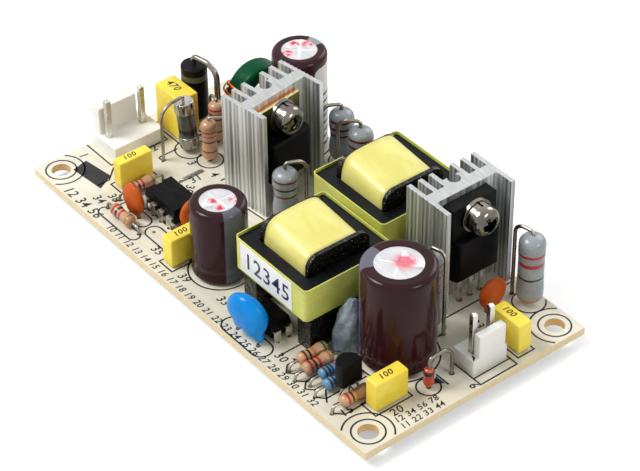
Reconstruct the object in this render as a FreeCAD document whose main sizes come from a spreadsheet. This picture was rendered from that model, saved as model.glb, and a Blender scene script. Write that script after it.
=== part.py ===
"""Open frame power supply: circuit board, two transformers, two heatsinks and their parts.

Frame: millimetres, +X from the input header to the output header, +Y from the front long
edge to the back one, +Z up. The origin is under the middle of the board, on the plane of
the clipped lead ends, which the supply stands on.
"""
import FreeCAD, Part
import math
import os

import Sketcher

from FreeCAD import Placement, Rotation, Vector

# Driving sizes, in millimetres and degrees. Heights are above the board's top face.
SIZES = {
    # bare board
    "board_length": 101.6,
    "board_width": 50.8,
    "board_thickness": 1.6,
    "mount_hole_diameter": 3.8,
    "mount_hole_inset": 3.81,
    "hole_clearance": 0.15,
    # solder joints and leads under the board
    "lead_stub": 2.0,
    "solder_tip_wall": 0.2,
    "solder_pad_wall": 0.75,
    "body_gap": 0.25,
    # heatsink extrusion
    "sink_width": 16.0,
    "sink_height": 23.0,
    "web_thickness": 2.7,
    "fin_reach": 4.3,
    "flange_reach": 3.9,
    "wall_thickness": 0.95,
    "fin_thickness": 0.9,
    "fin_pitch": 2.5,
    "inner_fin_offset": 2.45,
    "ridge_pitch": 1.0,
    "ridge_depth": 0.16,
    "pin_channel_diameter": 2.5,
    "pin_channel_offset": 2.1,
    "pin_channel_lip": 1.55,
    "sink_left_x": -16.4,
    "sink_left_y": 7.5,
    "sink_left_turn": 8.0,
    "sink_right_x": 27.25,
    "sink_right_y": 15.95,
    "sink_pin_diameter": 1.4,
    "sink_pin_depth": 4.0,
    # power packages and their screws
    "package_width": 10.2,
    "package_bottom": 6.0,
    "tab_start": 1.0,
    "package_top": 21.8,
    "tab_thickness": 1.3,
    "flat_tab_thickness": 2.8,
    "package_thickness": 4.5,
    "package_draft": 0.5,
    "package_left_step": 15.6,
    "package_right_step": 15.3,
    "package_hole_diameter": 3.6,
    "package_hole_drop": 2.8,
    "package_left_offset": -0.8,
    "package_right_offset": -0.45,
    "leg_pitch": 2.54,
    "leg_width": 0.8,
    "leg_thickness": 0.5,
    "leg_plane": 2.3,
    "screw_diameter": 3.0,
    "screw_head_diameter": 5.9,
    "screw_head_height": 2.1,
    "screw_engagement": 2.0,
    "recess_width": 0.7,
    "recess_length": 3.0,
    "recess_depth": 1.1,
    "spring_washer_diameter": 5.9,
    "spring_washer_thickness": 1.3,
    "flat_washer_diameter": 6.6,
    "flat_washer_thickness": 0.7,
    "washer_bore": 3.2,
    # transformers
    "core_width": 20.0,
    "core_length": 20.0,
    "core_height": 5.9,
    "core_back": 3.0,
    "core_leg": 2.95,
    "core_centre_leg": 5.9,
    "core_level": 11.5,
    "core_corner": 0.8,
    "tape_height": 7.0,
    "tape_wall": 0.2,
    "bobbin_clearance": 0.1,
    "bobbin_wall": 0.9,
    "flange_thickness": 0.9,
    "flange_width": 13.8,
    "flange_up": 6.9,
    "flange_down": 6.6,
    "flange_corner": 2.4,
    "rail_bottom": 0.5,
    "rail_width": 3.6,
    "rail_length": 17.6,
    "rail_foot": 1.6,
    "winding_near_up": 6.2,
    "winding_far_up": 7.6,
    "winding_down": 6.3,
    "winding_side": 6.75,
    "winding_corner": 2.6,
    "transformer_pin_diameter": 0.8,
    "transformer_pin_pitch": 3.75,
    "transformer_one_x": 15.5,
    "transformer_one_y": -8.0,
    "transformer_two_x": 9.8,
    "transformer_two_y": 14.1,
    "label_length": 14.8,
    "label_height": 6.2,
    "label_thickness": 0.1,
    "label_shift": -1.0,
    # electrolytic capacitors
    "sleeve_wall": 0.15,
    "can_corner": 1.1,
    "can_opening_share": 0.64,
    "bead_height": 2.6,
    "bead_radius": 0.35,
    "vent_width": 0.5,
    "vent_depth": 0.12,
    "bung_height": 1.2,
    "bung_margin": 1.2,
    "electrolytic_lead_diameter": 0.6,
    "back_can_diameter": 10.8,
    "back_can_height": 22.4,
    "back_can_x": -24.4,
    "back_can_y": 20.0,
    "back_can_pitch": 5.0,
    "back_can_vent_turn": 50.0,
    "centre_can_diameter": 10.7,
    "centre_can_height": 16.2,
    "centre_can_x": -3.4,
    "centre_can_y": -15.3,
    "centre_can_pitch": 5.0,
    "centre_can_vent_turn": 0.0,
    "output_can_diameter": 13.8,
    "output_can_height": 21.0,
    "output_can_x": 35.0,
    "output_can_y": -5.0,
    "output_can_pitch": 5.0,
    "output_can_vent_turn": 35.0,
    # film capacitors
    "film_corner": 0.35,
    "film_lead_diameter": 0.5,
    "film_lead_pitch": 5.0,
    "input_film_length": 8.0,
    "input_film_width": 4.8,
    "input_film_height": 10.0,
    "input_film_x": -43.5,
    "input_film_y": 4.0,
    "left_film_length": 7.6,
    "left_film_width": 2.5,
    "left_film_height": 6.2,
    "left_film_x": -35.35,
    "left_film_y": -12.4,
    "front_film_length": 7.2,
    "front_film_width": 3.0,
    "front_film_height": 6.4,
    "front_film_x": -10.3,
    "front_film_y": -18.8,
    "output_film_length": 7.2,
    "output_film_width": 3.0,
    "output_film_height": 6.3,
    "output_film_x": 42.95,
    "output_film_y": -14.1,
    "right_film_length": 7.3,
    "right_film_width": 3.0,
    "right_film_height": 6.6,
    "right_film_x": 45.2,
    "right_film_y": 12.6,
    # headers
    "header_pin_width": 1.14,
    "header_pin_top": 11.9,
    "header_pin_chamfer": 0.35,
    "header_pitch": 3.96,
    "header_base_height": 3.2,
    "input_header_x": -46.25,
    "input_header_y": -6.2,
    "input_header_length": 11.6,
    "input_header_depth": 8.3,
    "input_wall_length": 8.9,
    "input_wall_thickness": 2.6,
    "input_pin_inset": 3.95,
    "input_pin_shift": -0.2,
    "output_header_x": 45.1,
    "output_header_y": 5.3,
    "output_header_length": 7.9,
    "output_header_depth": 5.6,
    "output_wall_length": 6.1,
    "output_wall_thickness": 1.6,
    "output_wall_height": 8.2,
    "input_wall_height": 9.3,
    "output_pin_inset": 2.6,
    # glass fuse
    "fuse_diameter": 3.6,
    "fuse_length": 10.0,
    "fuse_cap_length": 2.5,
    "fuse_cap_wall": 0.2,
    "fuse_lead_diameter": 0.65,
    "fuse_element_diameter": 0.2,
    "fuse_rise": 1.2,
    "fuse_lean": 5.6,
    "fuse_x": -36.6,
    "fuse_y": 1.9,
    "fuse_return_x": -36.9,
    "fuse_return_y": -4.3,
    # rectifier diode
    "diode_diameter": 5.3,
    "diode_length": 12.0,
    "diode_rise": 0.7,
    "diode_lead_diameter": 1.2,
    "diode_x": -44.7,
    "diode_y": 9.3,
    "diode_bend_rise": 1.8,
    "diode_return_x": -38.7,
    "diode_return_y": 10.5,
    # small glass diode
    "glass_diode_diameter": 2.0,
    "glass_diode_length": 4.0,
    "glass_diode_rise": 0.5,
    "glass_diode_lead_diameter": 0.75,
    "glass_diode_x": 45.0,
    "glass_diode_y": -6.4,
    "glass_diode_bend_rise": 2.0,
    "glass_diode_return_x": 44.9,
    "glass_diode_return_y": -1.0,
    # choke
    "choke_outer_diameter": 12.0,
    "choke_inner_diameter": 5.6,
    "choke_width": 4.8,
    "choke_corner": 1.0,
    "choke_level": 7.6,
    "choke_x": -35.9,
    "choke_y": 18.2,
    "choke_turns": 4,
    "choke_step": 16.8,
    "choke_wire_diameter": 0.7,
    # silicone adhesive
    "blob_x": 28.0,
    "blob_y": -10.4,
    "blob_length": 5.4,
    "blob_width": 6.6,
    "blob_height": 12.0,
    # controller and optocoupler
    "chip_length": 9.6,
    "chip_width": 6.4,
    "chip_height": 3.3,
    "chip_rise": 0.8,
    "chip_x": -22.9,
    "chip_y": -12.0,
    "chip_row": 7.62,
    "chip_pitch": 2.54,
    "coupler_length": 4.6,
    "coupler_width": 6.5,
    "coupler_height": 3.4,
    "coupler_rise": 0.6,
    "coupler_x": 15.4,
    "coupler_y": -18.3,
    "chip_pin_width": 0.5,
    "chip_pin_shoulder": 1.4,
    "chip_pin_thickness": 0.28,
    "chip_notch_radius": 0.8,
    # small transistor
    "small_transistor_diameter": 4.7,
    "small_transistor_height": 4.8,
    "small_transistor_flat": 1.4,
    "small_transistor_rise": 2.9,
    "small_transistor_x": 37.6,
    "small_transistor_y": -18.2,
    "small_transistor_pitch": 2.0,
    "small_transistor_leg_pitch": 1.27,
    "small_transistor_leg_drop": 0.8,
    "small_transistor_leg_spread": 1.7,
    "small_transistor_lead": 0.45,
    # disc capacitors
    "blue_disc_diameter": 9.2,
    "blue_disc_thickness": 4.4,
    "blue_disc_x": 14.9,
    "blue_disc_y": -22.95,
    "blue_disc_pitch": 6.0,
    "blue_disc_lean": 9.0,
    "blue_disc_rise": 1.1,
    "orange_disc_diameter": 6.2,
    "orange_disc_thickness": 2.4,
    "orange_disc_pitch": 2.54,
    "orange_disc_lean": 0.0,
    "orange_disc_rise": 0.7,
    "disc_lead_diameter": 0.55,
    "left_disc_x": -26.5,
    "left_disc_y": -18.5,
    "middle_disc_x": -16.2,
    "middle_disc_y": -12.0,
    "right_disc_x": 36.5,
    "right_disc_y": 15.9,
    # resistors
    "small_resistor_length": 6.4,
    "small_resistor_diameter": 2.4,
    "small_resistor_lead": 0.55,
    "lying_pitch": 10.16,
    "metal_resistor_length": 6.0,
    "metal_resistor_diameter": 2.2,
    "medium_resistor_length": 9.0,
    "medium_resistor_diameter": 3.3,
    "power_resistor_length": 11.7,
    "power_resistor_diameter": 5.0,
    "power_resistor_lead": 0.75,
    "tall_resistor_length": 17.0,
    "tall_resistor_diameter": 4.4,
    "large_resistor_length": 15.0,
    "large_resistor_diameter": 5.0,
    "upright_rise": 0.6,
    # jumper wire
    "jumper_x": -29.3,
    "jumper_y": -3.1,
    "jumper_pitch": 5.08,
    "jumper_diameter": 0.6,
}

doc = FreeCAD.newDocument("OpenFrameSupply")
sheet = doc.addObject("Spreadsheet::Sheet", "Sizes")
for row, (alias, value) in enumerate(SIZES.items(), start=1):
    sheet.set(f"A{row}", alias)
    sheet.set(f"B{row}", str(value))
    sheet.setAlias(f"B{row}", alias)
doc.recompute()


def size(alias):
    """The number that the sheet holds under an alias."""
    return float(sheet.get(alias))


subparts = []
openings = []
BOARD_TOP = "(Sizes.lead_stub + Sizes.board_thickness)"
board_top = size("lead_stub") + size("board_thickness")


def expression(text):
    """Turns words that are aliases into cells of the sheet."""
    for word in sorted(set(text.replace("(", " ").replace(")", " ").split()), key=len, reverse=True):
        if word in SIZES:
            text = " ".join("Sizes." + piece if piece == word else piece
                            for piece in text.replace("(", "( ").replace(")", " )").split())
    return text.replace("board_top", BOARD_TOP)


def primitive(kind, name, sizes, at):
    """A Part primitive whose sizes and place are expressions of the sheet's aliases."""
    item = doc.addObject("Part::" + kind, name)
    for prop, text in sizes.items():
        item.setExpression(prop, expression(text))
    for axis, text in zip("xyz", at):
        item.setExpression(f"Placement.Base.{axis}", expression(text))
    return item


def block(name, length, width, height, centre_x, centre_y, bottom):
    """A box given by its sizes, the middle of its base and its lower face."""
    corner = (f"{centre_x} - ( {length} ) / 2", f"{centre_y} - ( {width} ) / 2", bottom)
    return primitive("Box", name, {"Length": length, "Width": width, "Height": height}, corner)


def rod(name, radius, height, centre_x, centre_y, bottom):
    """An upright cylinder."""
    return primitive("Cylinder", name, {"Radius": radius, "Height": height}, (centre_x, centre_y, bottom))


def cut(name, base, tool):
    """What is left of base when tool is taken away."""
    item = doc.addObject("Part::Cut", name)
    item.Base = base
    item.Tool = tool
    return item


def fuse(name, *items):
    """One solid of several."""
    item = doc.addObject("Part::MultiFuse", name)
    item.Shapes = list(items)
    item.Refine = True
    return item


def rounded(name, base, radius, wanted):
    """Rounds the edges of base that the test wanted picks."""
    doc.recompute()
    item = doc.addObject("Part::Fillet", name)
    item.Base = base
    item.Edges = [(number, radius, radius)
                  for number, edge in enumerate(base.Shape.Edges, start=1) if wanted(edge)]
    return item


def is_upright(edge):
    """True for a straight edge along Z."""
    if not isinstance(edge.Curve, Part.Line):
        return False
    return abs(abs(edge.Curve.Direction.z) - 1) < 1e-6


def is_round(edge):
    """True for a full circle."""
    return isinstance(edge.Curve, Part.Circle)


def subpart(name, item):
    """Names a sub-part and keeps it for the files."""
    item.Label = name
    subparts.append(item)
    return item


def made(name, shapes, placement=None):
    """A sub-part of one or more separate solids that Part's own functions worked out."""
    item = doc.addObject("Part::Feature", name + "_shape")
    item.Shape = shapes[0] if len(shapes) == 1 else Part.makeCompound(shapes)
    if placement:
        item.Placement = placement
    return subpart(name, item)


def hole(x, y, wide, deep=None):
    """Notes a lead through the board: a round one, or a square one where deep is given."""
    openings.append((x, y, wide, deep))


def along_z(x, y, turn):
    """A place on the board's top face, turned about the vertical."""
    return Placement(Vector(x, y, board_top), Rotation(Vector(0, 0, 1), turn))


# Wires and leads

def bent_path(points, bend):
    """Straight runs through the points, joined by arcs no larger than bend."""
    points = [Vector(*point) for point in points]
    edges = []
    start = points[0]
    for before, corner, after in zip(points, points[1:], points[2:]):
        first = (before - corner).normalize()
        second = (after - corner).normalize()
        half = first.getAngle(second) / 2
        if half > math.pi / 2 - 1e-4:
            continue
        reach = min((before - corner).Length, (after - corner).Length) * 0.499
        radius = min(bend, reach * math.tan(half))
        leg = radius / math.tan(half)
        entry = corner + first * leg
        leave = corner + second * leg
        middle = corner + (first + second).normalize() * (radius / math.sin(half) - radius)
        if (entry - start).Length > 1e-6:
            edges.append(Part.LineSegment(start, entry).toShape())
        edges.append(Part.Arc(entry, middle, leave).toShape())
        start = leave
    edges.append(Part.LineSegment(start, points[-1]).toShape())
    return Part.Wire(edges)


def wire(points, diameter, bend):
    """A round wire along a bent path."""
    path = bent_path(points, bend)
    first = Vector(*points[0])
    ahead = Vector(*points[1]) - first
    ring = Part.Wire([Part.Circle(first, ahead, diameter / 2).toShape()])
    return path.makePipeShell([ring], True, False)


def straight_lead(x, y, top, diameter):
    """A lead that comes straight down from top, above the board, to the clipped end."""
    hole(x, y, diameter)
    return Part.makeCylinder(diameter / 2, board_top + top, Vector(x, y, 0))


def hairpin(x, y, top, rise, return_x, return_y, diameter, bend=None):
    """A lead that leaves a body's top, loops over and comes down through its own hole."""
    hole(return_x, return_y, diameter)
    span = math.hypot(return_x - x, return_y - y)
    start = (x, y, board_top + top)
    over = board_top + top + rise
    points = [start, (x, y, over), (return_x, return_y, over), (return_x, return_y, 0)]
    return wire(points, diameter, bend or span / 2)


# Heatsinks

def sink_outline():
    """Corners of the extrusion's section, from the middle of its web: u is depth, v is width."""
    half_web = size("web_thickness") / 2
    half = size("sink_width") / 2
    back = -half_web - size("fin_reach")
    front = half_web + size("flange_reach")
    wall = size("wall_thickness")
    fin = size("fin_thickness") / 2
    depth = size("ridge_depth")
    pitch = size("ridge_pitch")
    lip = -half_web - size("pin_channel_lip")
    near = size("inner_fin_offset")
    fins = [-near - size("fin_pitch"), -near, near, near + size("fin_pitch")]
    points = [(back, -half)]
    for step in range(int((front - back) / pitch)):
        start = back + (step + 0.5) * pitch
        points += [(start - pitch / 4, -half), (start, -half + depth), (start + pitch / 4, -half)]
    points += [(front, -half), (front, -half + wall), (half_web, -half + wall)]
    points += [(half_web, half - wall), (front, half - wall), (front, half)]
    for step in reversed(range(int((front - back) / pitch))):
        start = back + (step + 0.5) * pitch
        points += [(start + pitch / 4, half), (start, half - depth), (start - pitch / 4, half)]
    points += [(back, half), (back, half - wall), (-half_web, half - wall)]
    for place in reversed(fins):
        root = lip if place == near else -half_web
        other = lip if place == -near else -half_web
        points += [(other, place + fin), (back, place + fin), (back, place - fin), (root, place - fin)]
    points += [(-half_web, -half + wall), (back, -half + wall)]
    return points


def plane_of(body, role):
    """An origin plane of a body, found by its role."""
    return next(feature for feature in body.Origin.OriginFeatures if feature.Role == role)


def sketch_on(body, name, plane):
    """A sketch lying on a plane of its own body."""
    sketch = body.newObject("Sketcher::SketchObject", name)
    sketch.AttachmentSupport = [(plane, "")]
    sketch.MapMode = "FlatFace"
    return sketch


def sink_body(name):
    """One heatsink: the section extruded to its height, with the pin channel and screw hole."""
    body = doc.addObject("PartDesign::Body", name + "_body")
    section = sketch_on(body, name + "_section", plane_of(body, "XY_Plane"))
    corners = [Vector(u, v, 0) for u, v in sink_outline()]
    for start, end in zip(corners, corners[1:] + corners[:1]):
        section.addGeometry(Part.LineSegment(start, end))
    pad = body.newObject("PartDesign::Pad", name + "_pad")
    pad.Profile = section
    pad.setExpression("Length", "Sizes.sink_height")
    doc.recompute()
    channel = sketch_on(body, name + "_channel", plane_of(body, "XY_Plane"))
    centre = Vector(-size("pin_channel_offset"), 0, 0)
    channel.addGeometry(Part.Circle(centre, Vector(0, 0, 1), size("pin_channel_diameter") / 2))
    pocket = body.newObject("PartDesign::Pocket", name + "_pocket")
    pocket.Profile = channel
    pocket.Type = "ThroughAll"
    pocket.Reversed = True
    doc.recompute()
    return body


def screw_level():
    """Height of the package screw above the board."""
    return size("package_top") - size("package_hole_drop")


def sink_frame(side):
    """Place and turn of a heatsink on the board."""
    turn = size("sink_left_turn") if side == "left" else 0.0
    return along_z(size(f"sink_{side}_x"), size(f"sink_{side}_y"), turn)


def on_sink(side, shape):
    """Moves a shape from a heatsink's own frame to the board."""
    moved = shape.copy()
    moved.Placement = sink_frame(side).multiply(moved.Placement)
    return moved


def slab(u_from, u_to, v_from, v_to, z_from, z_to):
    """A box between six planes of a heatsink's own frame."""
    corner = Vector(u_from, v_from, z_from)
    return Part.makeBox(u_to - u_from, v_to - v_from, z_to - z_from, corner)


def level_rod(radius, u_from, u_to, v, z):
    """A cylinder along the depth of a heatsink."""
    return Part.makeCylinder(radius, u_to - u_from, Vector(u_from, v, z), Vector(1, 0, 0))


def heatsink(side):
    """Heatsink with its tapped hole, standing on the board."""
    blank = sink_body(f"heatsink_{side}_blank")
    half_web = size("web_thickness") / 2
    tool = doc.addObject("Part::Cylinder", f"heatsink_{side}_tap")
    tool.setExpression("Radius", "Sizes.screw_diameter / 2")
    tool.setExpression("Height", "Sizes.web_thickness")
    offset = size(f"package_{side}_offset")
    tool.Placement = Placement(Vector(-half_web, offset, screw_level()), Rotation(Vector(0, 1, 0), 90))
    finished = cut(f"heatsink_{side}_cut", blank, tool)
    finished.Placement = sink_frame(side)
    subpart(f"heatsink_{side}", finished)


def sink_pin(side):
    """Solder pin pressed into the foot of the channel."""
    offset = -size("pin_channel_offset")
    plug = Part.makeCylinder(size("pin_channel_diameter") / 2, size("sink_pin_depth"), Vector(offset, 0, 0))
    tail_length = board_top
    tail = Part.makeCylinder(size("sink_pin_diameter") / 2, tail_length, Vector(offset, 0, -tail_length))
    place = sink_frame(side).multVec(Vector(offset, 0, 0))
    hole(place.x, place.y, size("sink_pin_diameter"))
    return on_sink(side, plug.fuse(tail).removeSplitter())


def stack_faces(side):
    """Depths at which the package, the washers and the screw head begin."""
    package_face = size("web_thickness") / 2
    tab = size("tab_thickness") if side == "left" else size("flat_tab_thickness")
    washer_face = package_face + tab
    spring_face = washer_face + size("flat_washer_thickness")
    head_face = spring_face + size("spring_washer_thickness")
    return package_face, washer_face, spring_face, head_face


def package_rim(u, offset, half, bottom, top, inset):
    """Upright rectangle across a heatsink's depth, drawn in by inset."""
    corners = [Vector(u, offset - half + inset, bottom + inset), Vector(u, offset + half - inset, bottom + inset),
               Vector(u, offset + half - inset, top - inset), Vector(u, offset - half + inset, top - inset)]
    return Part.makePolygon(corners + corners[:1])


def package(side):
    """Moulded body and tab of a power package on its heatsink, and its three legs."""
    package_face, washer_face = stack_faces(side)[:2]
    offset = size(f"package_{side}_offset")
    half = size("package_width") / 2
    bottom = size("package_bottom")
    step = size(f"package_{side}_step")
    top = size("package_top")
    front = package_face + size("package_thickness")
    bore = level_rod(size("package_hole_diameter") / 2, package_face, front, offset, screw_level())
    tab_low = bottom if side == "right" else bottom + size("tab_start")
    tab = slab(package_face, washer_face, offset - half, offset + half, tab_low, top).cut(bore)
    mould = slab(package_face, washer_face, offset - half, offset + half, bottom, step)
    inset = size("package_draft")
    rims = [package_rim(washer_face, offset, half, bottom, step, 0.0),
            package_rim(front - inset, offset, half, bottom, step, inset * 0.5),
            package_rim(front, offset, half, bottom, step, inset * 1.4)]
    mould = mould.fuse(Part.makeLoft(rims, True, True)).removeSplitter()
    plane = package_face + size("leg_plane")
    legs = []
    for number in (-1, 0, 1):
        v = offset + number * size("leg_pitch")
        wide = size("leg_width")
        thick = size("leg_thickness")
        legs.append(on_sink(side, slab(plane - thick / 2, plane + thick / 2, v - wide / 2, v + wide / 2,
                                       -board_top, bottom)))
        place = sink_frame(side).multVec(Vector(plane, v, 0))
        hole(place.x, place.y, math.hypot(wide, thick))
    if side == "left":
        made("transistor_tab", [on_sink(side, tab)])
        made("transistor_body", [on_sink(side, mould.cut(tab))])
    else:
        whole = tab.fuse(mould).removeSplitter()
        made("output_rectifier_body", [on_sink(side, whole)])
    return legs


def screw(side):
    """Pan head screw with a cross recess, from its head to its end in the web."""
    package_face, washer_face, spring_face, head_face = stack_faces(side)
    offset = size(f"package_{side}_offset")
    level = screw_level()
    radius = size("screw_head_diameter") / 2
    height = size("screw_head_height")
    crown = radius * 0.55
    profile = Part.Wire([
        Part.LineSegment(Vector(0, 0, 0), Vector(radius, 0, 0)).toShape(),
        Part.LineSegment(Vector(radius, 0, 0), Vector(radius, 0, height * 0.35)).toShape(),
        Part.Arc(Vector(radius, 0, height * 0.35), Vector(radius * 0.85, 0, height * 0.8),
                 Vector(crown, 0, height)).toShape(),
        Part.LineSegment(Vector(crown, 0, height), Vector(0, 0, height)).toShape(),
        Part.LineSegment(Vector(0, 0, height), Vector(0, 0, 0)).toShape(),
    ])
    head = Part.Face(profile).revolve(Vector(0, 0, 0), Vector(0, 0, 1), 360)
    recess_bottom = height - size("recess_depth")
    for turn in (0, 90):
        slot = Part.makeBox(size("recess_length"), size("recess_width"), height,
                            Vector(-size("recess_length") / 2, -size("recess_width") / 2, recess_bottom))
        slot.rotate(Vector(0, 0, 0), Vector(0, 0, 1), turn + 20)
        head = head.cut(slot)
    head.rotate(Vector(0, 0, 0), Vector(0, 1, 0), 90)
    head.translate(Vector(head_face, offset, level))
    end = package_face - size("screw_engagement")
    shank = level_rod(size("screw_diameter") / 2, end, head_face, offset, level)
    return on_sink(side, head.fuse(shank).removeSplitter())


def washer(side, which):
    """A washer under the screw head: flat, or split and sprung."""
    faces = stack_faces(side)
    start, end = (faces[1], faces[2]) if which == "flat" else (faces[2], faces[3])
    offset = size(f"package_{side}_offset")
    level = screw_level()
    disc = level_rod(size(f"{which}_washer_diameter") / 2, start, end, offset, level)
    ring = disc.cut(level_rod(size("washer_bore") / 2, start, end, offset, level))
    if which == "spring":
        gap = slab(start, end, offset - 0.25, offset + 0.25, level, level + size("spring_washer_diameter"))
        ring = ring.cut(gap)
    return on_sink(side, ring)


# Transformers

def transformer(number, word):
    """Two core halves, bobbin, winding, tape and pins round the middle of one transformer."""
    centre_x = f"transformer_{number}_x"
    centre_y = f"transformer_{number}_y"
    x = size(centre_x)
    y = size(centre_y)
    level = size("core_level")
    low = "board_top + core_level - core_height / 2"
    halves = []
    for side, sign in (("near", "-"), ("far", "+")):
        start = f"{centre_x} {sign} core_length / 4"
        whole = block(f"{word}_core_{side}", "core_length / 2", "core_width", "core_height",
                      start, centre_y, low)
        outside = rounded(f"{word}_core_{side}_round", whole, size("core_corner"),
                          lambda edge: is_upright(edge)
                          and abs(edge.CenterOfMass.x - x) > size("core_length") / 4)
        window = "( core_length / 2 - core_back )"
        width = "( core_width / 2 - core_leg - core_centre_leg / 2 )"
        side_step = f"( core_centre_leg / 2 + {width} / 2 )"
        middle_x = f"{centre_x} {sign} {window} / 2"
        front = block(f"{word}_{side}_window_a", window, width, "core_height",
                      middle_x, f"{centre_y} - {side_step}", low)
        back = block(f"{word}_{side}_window_b", window, width, "core_height",
                     middle_x, f"{centre_y} + {side_step}", low)
        halves.append(cut(f"{word}_half_{side}", cut(f"{word}_cut_{side}", outside, front), back))
    doc.recompute()
    made(f"{word}_core", [half.Shape.copy() for half in halves])

    tape_low = "board_top + core_level - tape_height / 2"
    outer = block(f"{word}_tape_outer", "core_length + 2 * tape_wall", "core_width + 2 * tape_wall",
                  "tape_height", centre_x, centre_y, tape_low)
    inner = block(f"{word}_tape_inner", "core_length", "core_width", "tape_height",
                  centre_x, centre_y, tape_low)
    outer_round = rounded(f"{word}_tape_outer_round", outer,
                          size("core_corner") + size("tape_wall"), is_upright)
    inner_round = rounded(f"{word}_tape_inner_round", inner, size("core_corner"), is_upright)
    subpart(f"{word}_tape", cut(f"{word}_tape_ring", outer_round, inner_round))

    bobbin_parts(word, x, y, level)


def section_ring(x, y, level, half_width, up, down, corner):
    """Rounded outline in an upright plane across the winding's axis."""
    bottom = board_top + level - down
    top = board_top + level + up
    face = Part.makeBox(1, 2 * half_width, top - bottom, Vector(x, y - half_width, bottom))
    edges = [edge for edge in face.Edges if abs(edge.tangentAt(edge.FirstParameter).x) > 0.99]
    return face.makeFillet(corner, edges)


def bobbin_parts(word, x, y, level):
    """Moulded bobbin with its flanges and pin rails, the taped winding on it and its pins."""
    clear = size("bobbin_clearance")
    hollow = size("core_centre_leg") / 2 + clear
    tube = hollow + size("bobbin_wall")
    reach = size("core_length") / 2 - size("core_back") - clear
    thick = size("flange_thickness")
    low = board_top + level
    body = Part.makeBox(2 * reach, 2 * tube, 2 * tube, Vector(x - reach, y - tube, low - tube))
    for start in (x - reach, x + reach - thick):
        flange = section_ring(start, y, level, size("flange_width") / 2, size("flange_up"),
                              size("flange_down"), size("flange_corner"))
        reach_y = size("core_width")
        flange = flange.common(Part.makeBox(thick, 2 * reach_y, 2 * reach_y, Vector(start, y - reach_y, 0)))
        body = body.fuse(flange)
    rail_top = level - size("core_height") / 2 - clear
    rail_bottom = size("rail_bottom")
    half_rail = size("rail_length") / 2
    holes = []
    for side in (-1, 1):
        inner = x + side * (reach - thick)
        outer = x + side * (reach - thick + size("rail_width"))
        start = min(inner, outer)
        rail = Part.makeBox(size("rail_width"), 2 * half_rail, rail_top - rail_bottom,
                            Vector(start, y - half_rail, board_top + rail_bottom))
        body = body.fuse(rail)
        for end in (-1, 1):
            foot_y = y + end * (half_rail - size("rail_foot") / 2) - size("rail_foot") / 2
            body = body.fuse(Part.makeBox(size("rail_width"), size("rail_foot"), rail_bottom,
                                          Vector(start, foot_y, board_top)))
        for step in (-2, -1, 0, 1, 2):
            holes.append(((inner + outer) / 2, y + step * size("transformer_pin_pitch")))
    body = body.cut(Part.makeBox(2 * reach, 2 * hollow, 2 * hollow, Vector(x - reach, y - hollow, low - hollow)))
    pin_depth = 2.5
    radius = size("transformer_pin_diameter") / 2
    pins = []
    for place_x, place_y in holes:
        hole(place_x, place_y, 2 * radius)
        pin = Part.makeCylinder(radius, board_top + rail_bottom + pin_depth, Vector(place_x, place_y, 0))
        body = body.cut(pin)
        pins.append(pin)
    made(f"{word}_bobbin", [body.removeSplitter()])
    made(f"{word}_pins", pins)

    start = x - reach + thick
    length = 2 * (reach - thick)
    near = winding_wire(start + length, y, level, size("winding_near_up"))
    far = winding_wire(start, y, level, size("winding_far_up"))
    winding = Part.makeLoft([far, near], True, False)
    winding = winding.cut(Part.makeBox(length, 2 * tube, 2 * tube, Vector(start, y - tube, low - tube)))
    made(f"{word}_winding", [winding])


def winding_wire(x, y, level, up):
    """Outline of the taped winding: flat sides, round shoulders and a crowned top."""
    side = size("winding_side")
    corner = size("winding_corner")
    middle = board_top + level
    bottom = middle - size("winding_down")
    shoulder = middle + size("winding_near_up") - corner
    crown = middle + up
    reach = corner * 0.29
    points = {
        "low_front": Vector(x, y - side + corner, bottom),
        "low_back": Vector(x, y + side - corner, bottom),
        "back_low": Vector(x, y + side, bottom + corner),
        "back_high": Vector(x, y + side, shoulder),
        "front_high": Vector(x, y - side, shoulder),
        "front_low": Vector(x, y - side, bottom + corner),
    }
    top_back = Vector(x, y + side - corner, middle + size("winding_near_up") - 0.2)
    top_front = Vector(x, y - side + corner, middle + size("winding_near_up") - 0.2)
    curves = [
        Part.LineSegment(points["low_front"], points["low_back"]),
        Part.Arc(points["low_back"], Vector(x, y + side - reach, bottom + reach), points["back_low"]),
        Part.LineSegment(points["back_low"], points["back_high"]),
        Part.Arc(points["back_high"], Vector(x, y + side - reach, top_back.z - reach), top_back),
        Part.Arc(top_back, Vector(x, y, crown), top_front),
        Part.Arc(top_front, Vector(x, y - side + reach, top_front.z - reach), points["front_high"]),
        Part.LineSegment(points["front_high"], points["front_low"]),
        Part.Arc(points["front_low"], Vector(x, y - side + reach, bottom + reach), points["low_front"]),
    ]
    return Part.Wire([curve.toShape() for curve in curves])


# Capacitors

def turned(points, x, y):
    """A solid of revolution: each point is radius and height, and a middle pair makes an arc."""
    curves = []
    for start, end in zip(points, points[1:] + points[:1]):
        first = Vector(start[0], 0, start[1])
        last = Vector(end[0], 0, end[1])
        if len(end) == 4:
            curves.append(Part.Arc(first, Vector(end[2], 0, end[3]), last).toShape())
        else:
            curves.append(Part.LineSegment(first, last).toShape())
    solid = Part.Face(Part.Wire(curves)).revolve(Vector(0, 0, 0), Vector(0, 0, 1), 360)
    solid.translate(Vector(x, y, board_top))
    return solid


def can_side(radius, height, corner, inset):
    """Profile up the side of a can: foot corner, rolled bead and shoulder, moved in by inset."""
    r = radius - inset
    level = size("bead_height")
    bead = size("bead_radius")
    bend = (corner - inset) * 0.293
    return [
        (radius - corner, inset),
        (r, corner, r - bend, inset + bend),
        (r, level - bead),
        (r, level + bead, r - bead, level),
        (r, height - corner),
        (radius - corner, height - inset, r - bend, height - inset - bend),
    ]


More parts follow.
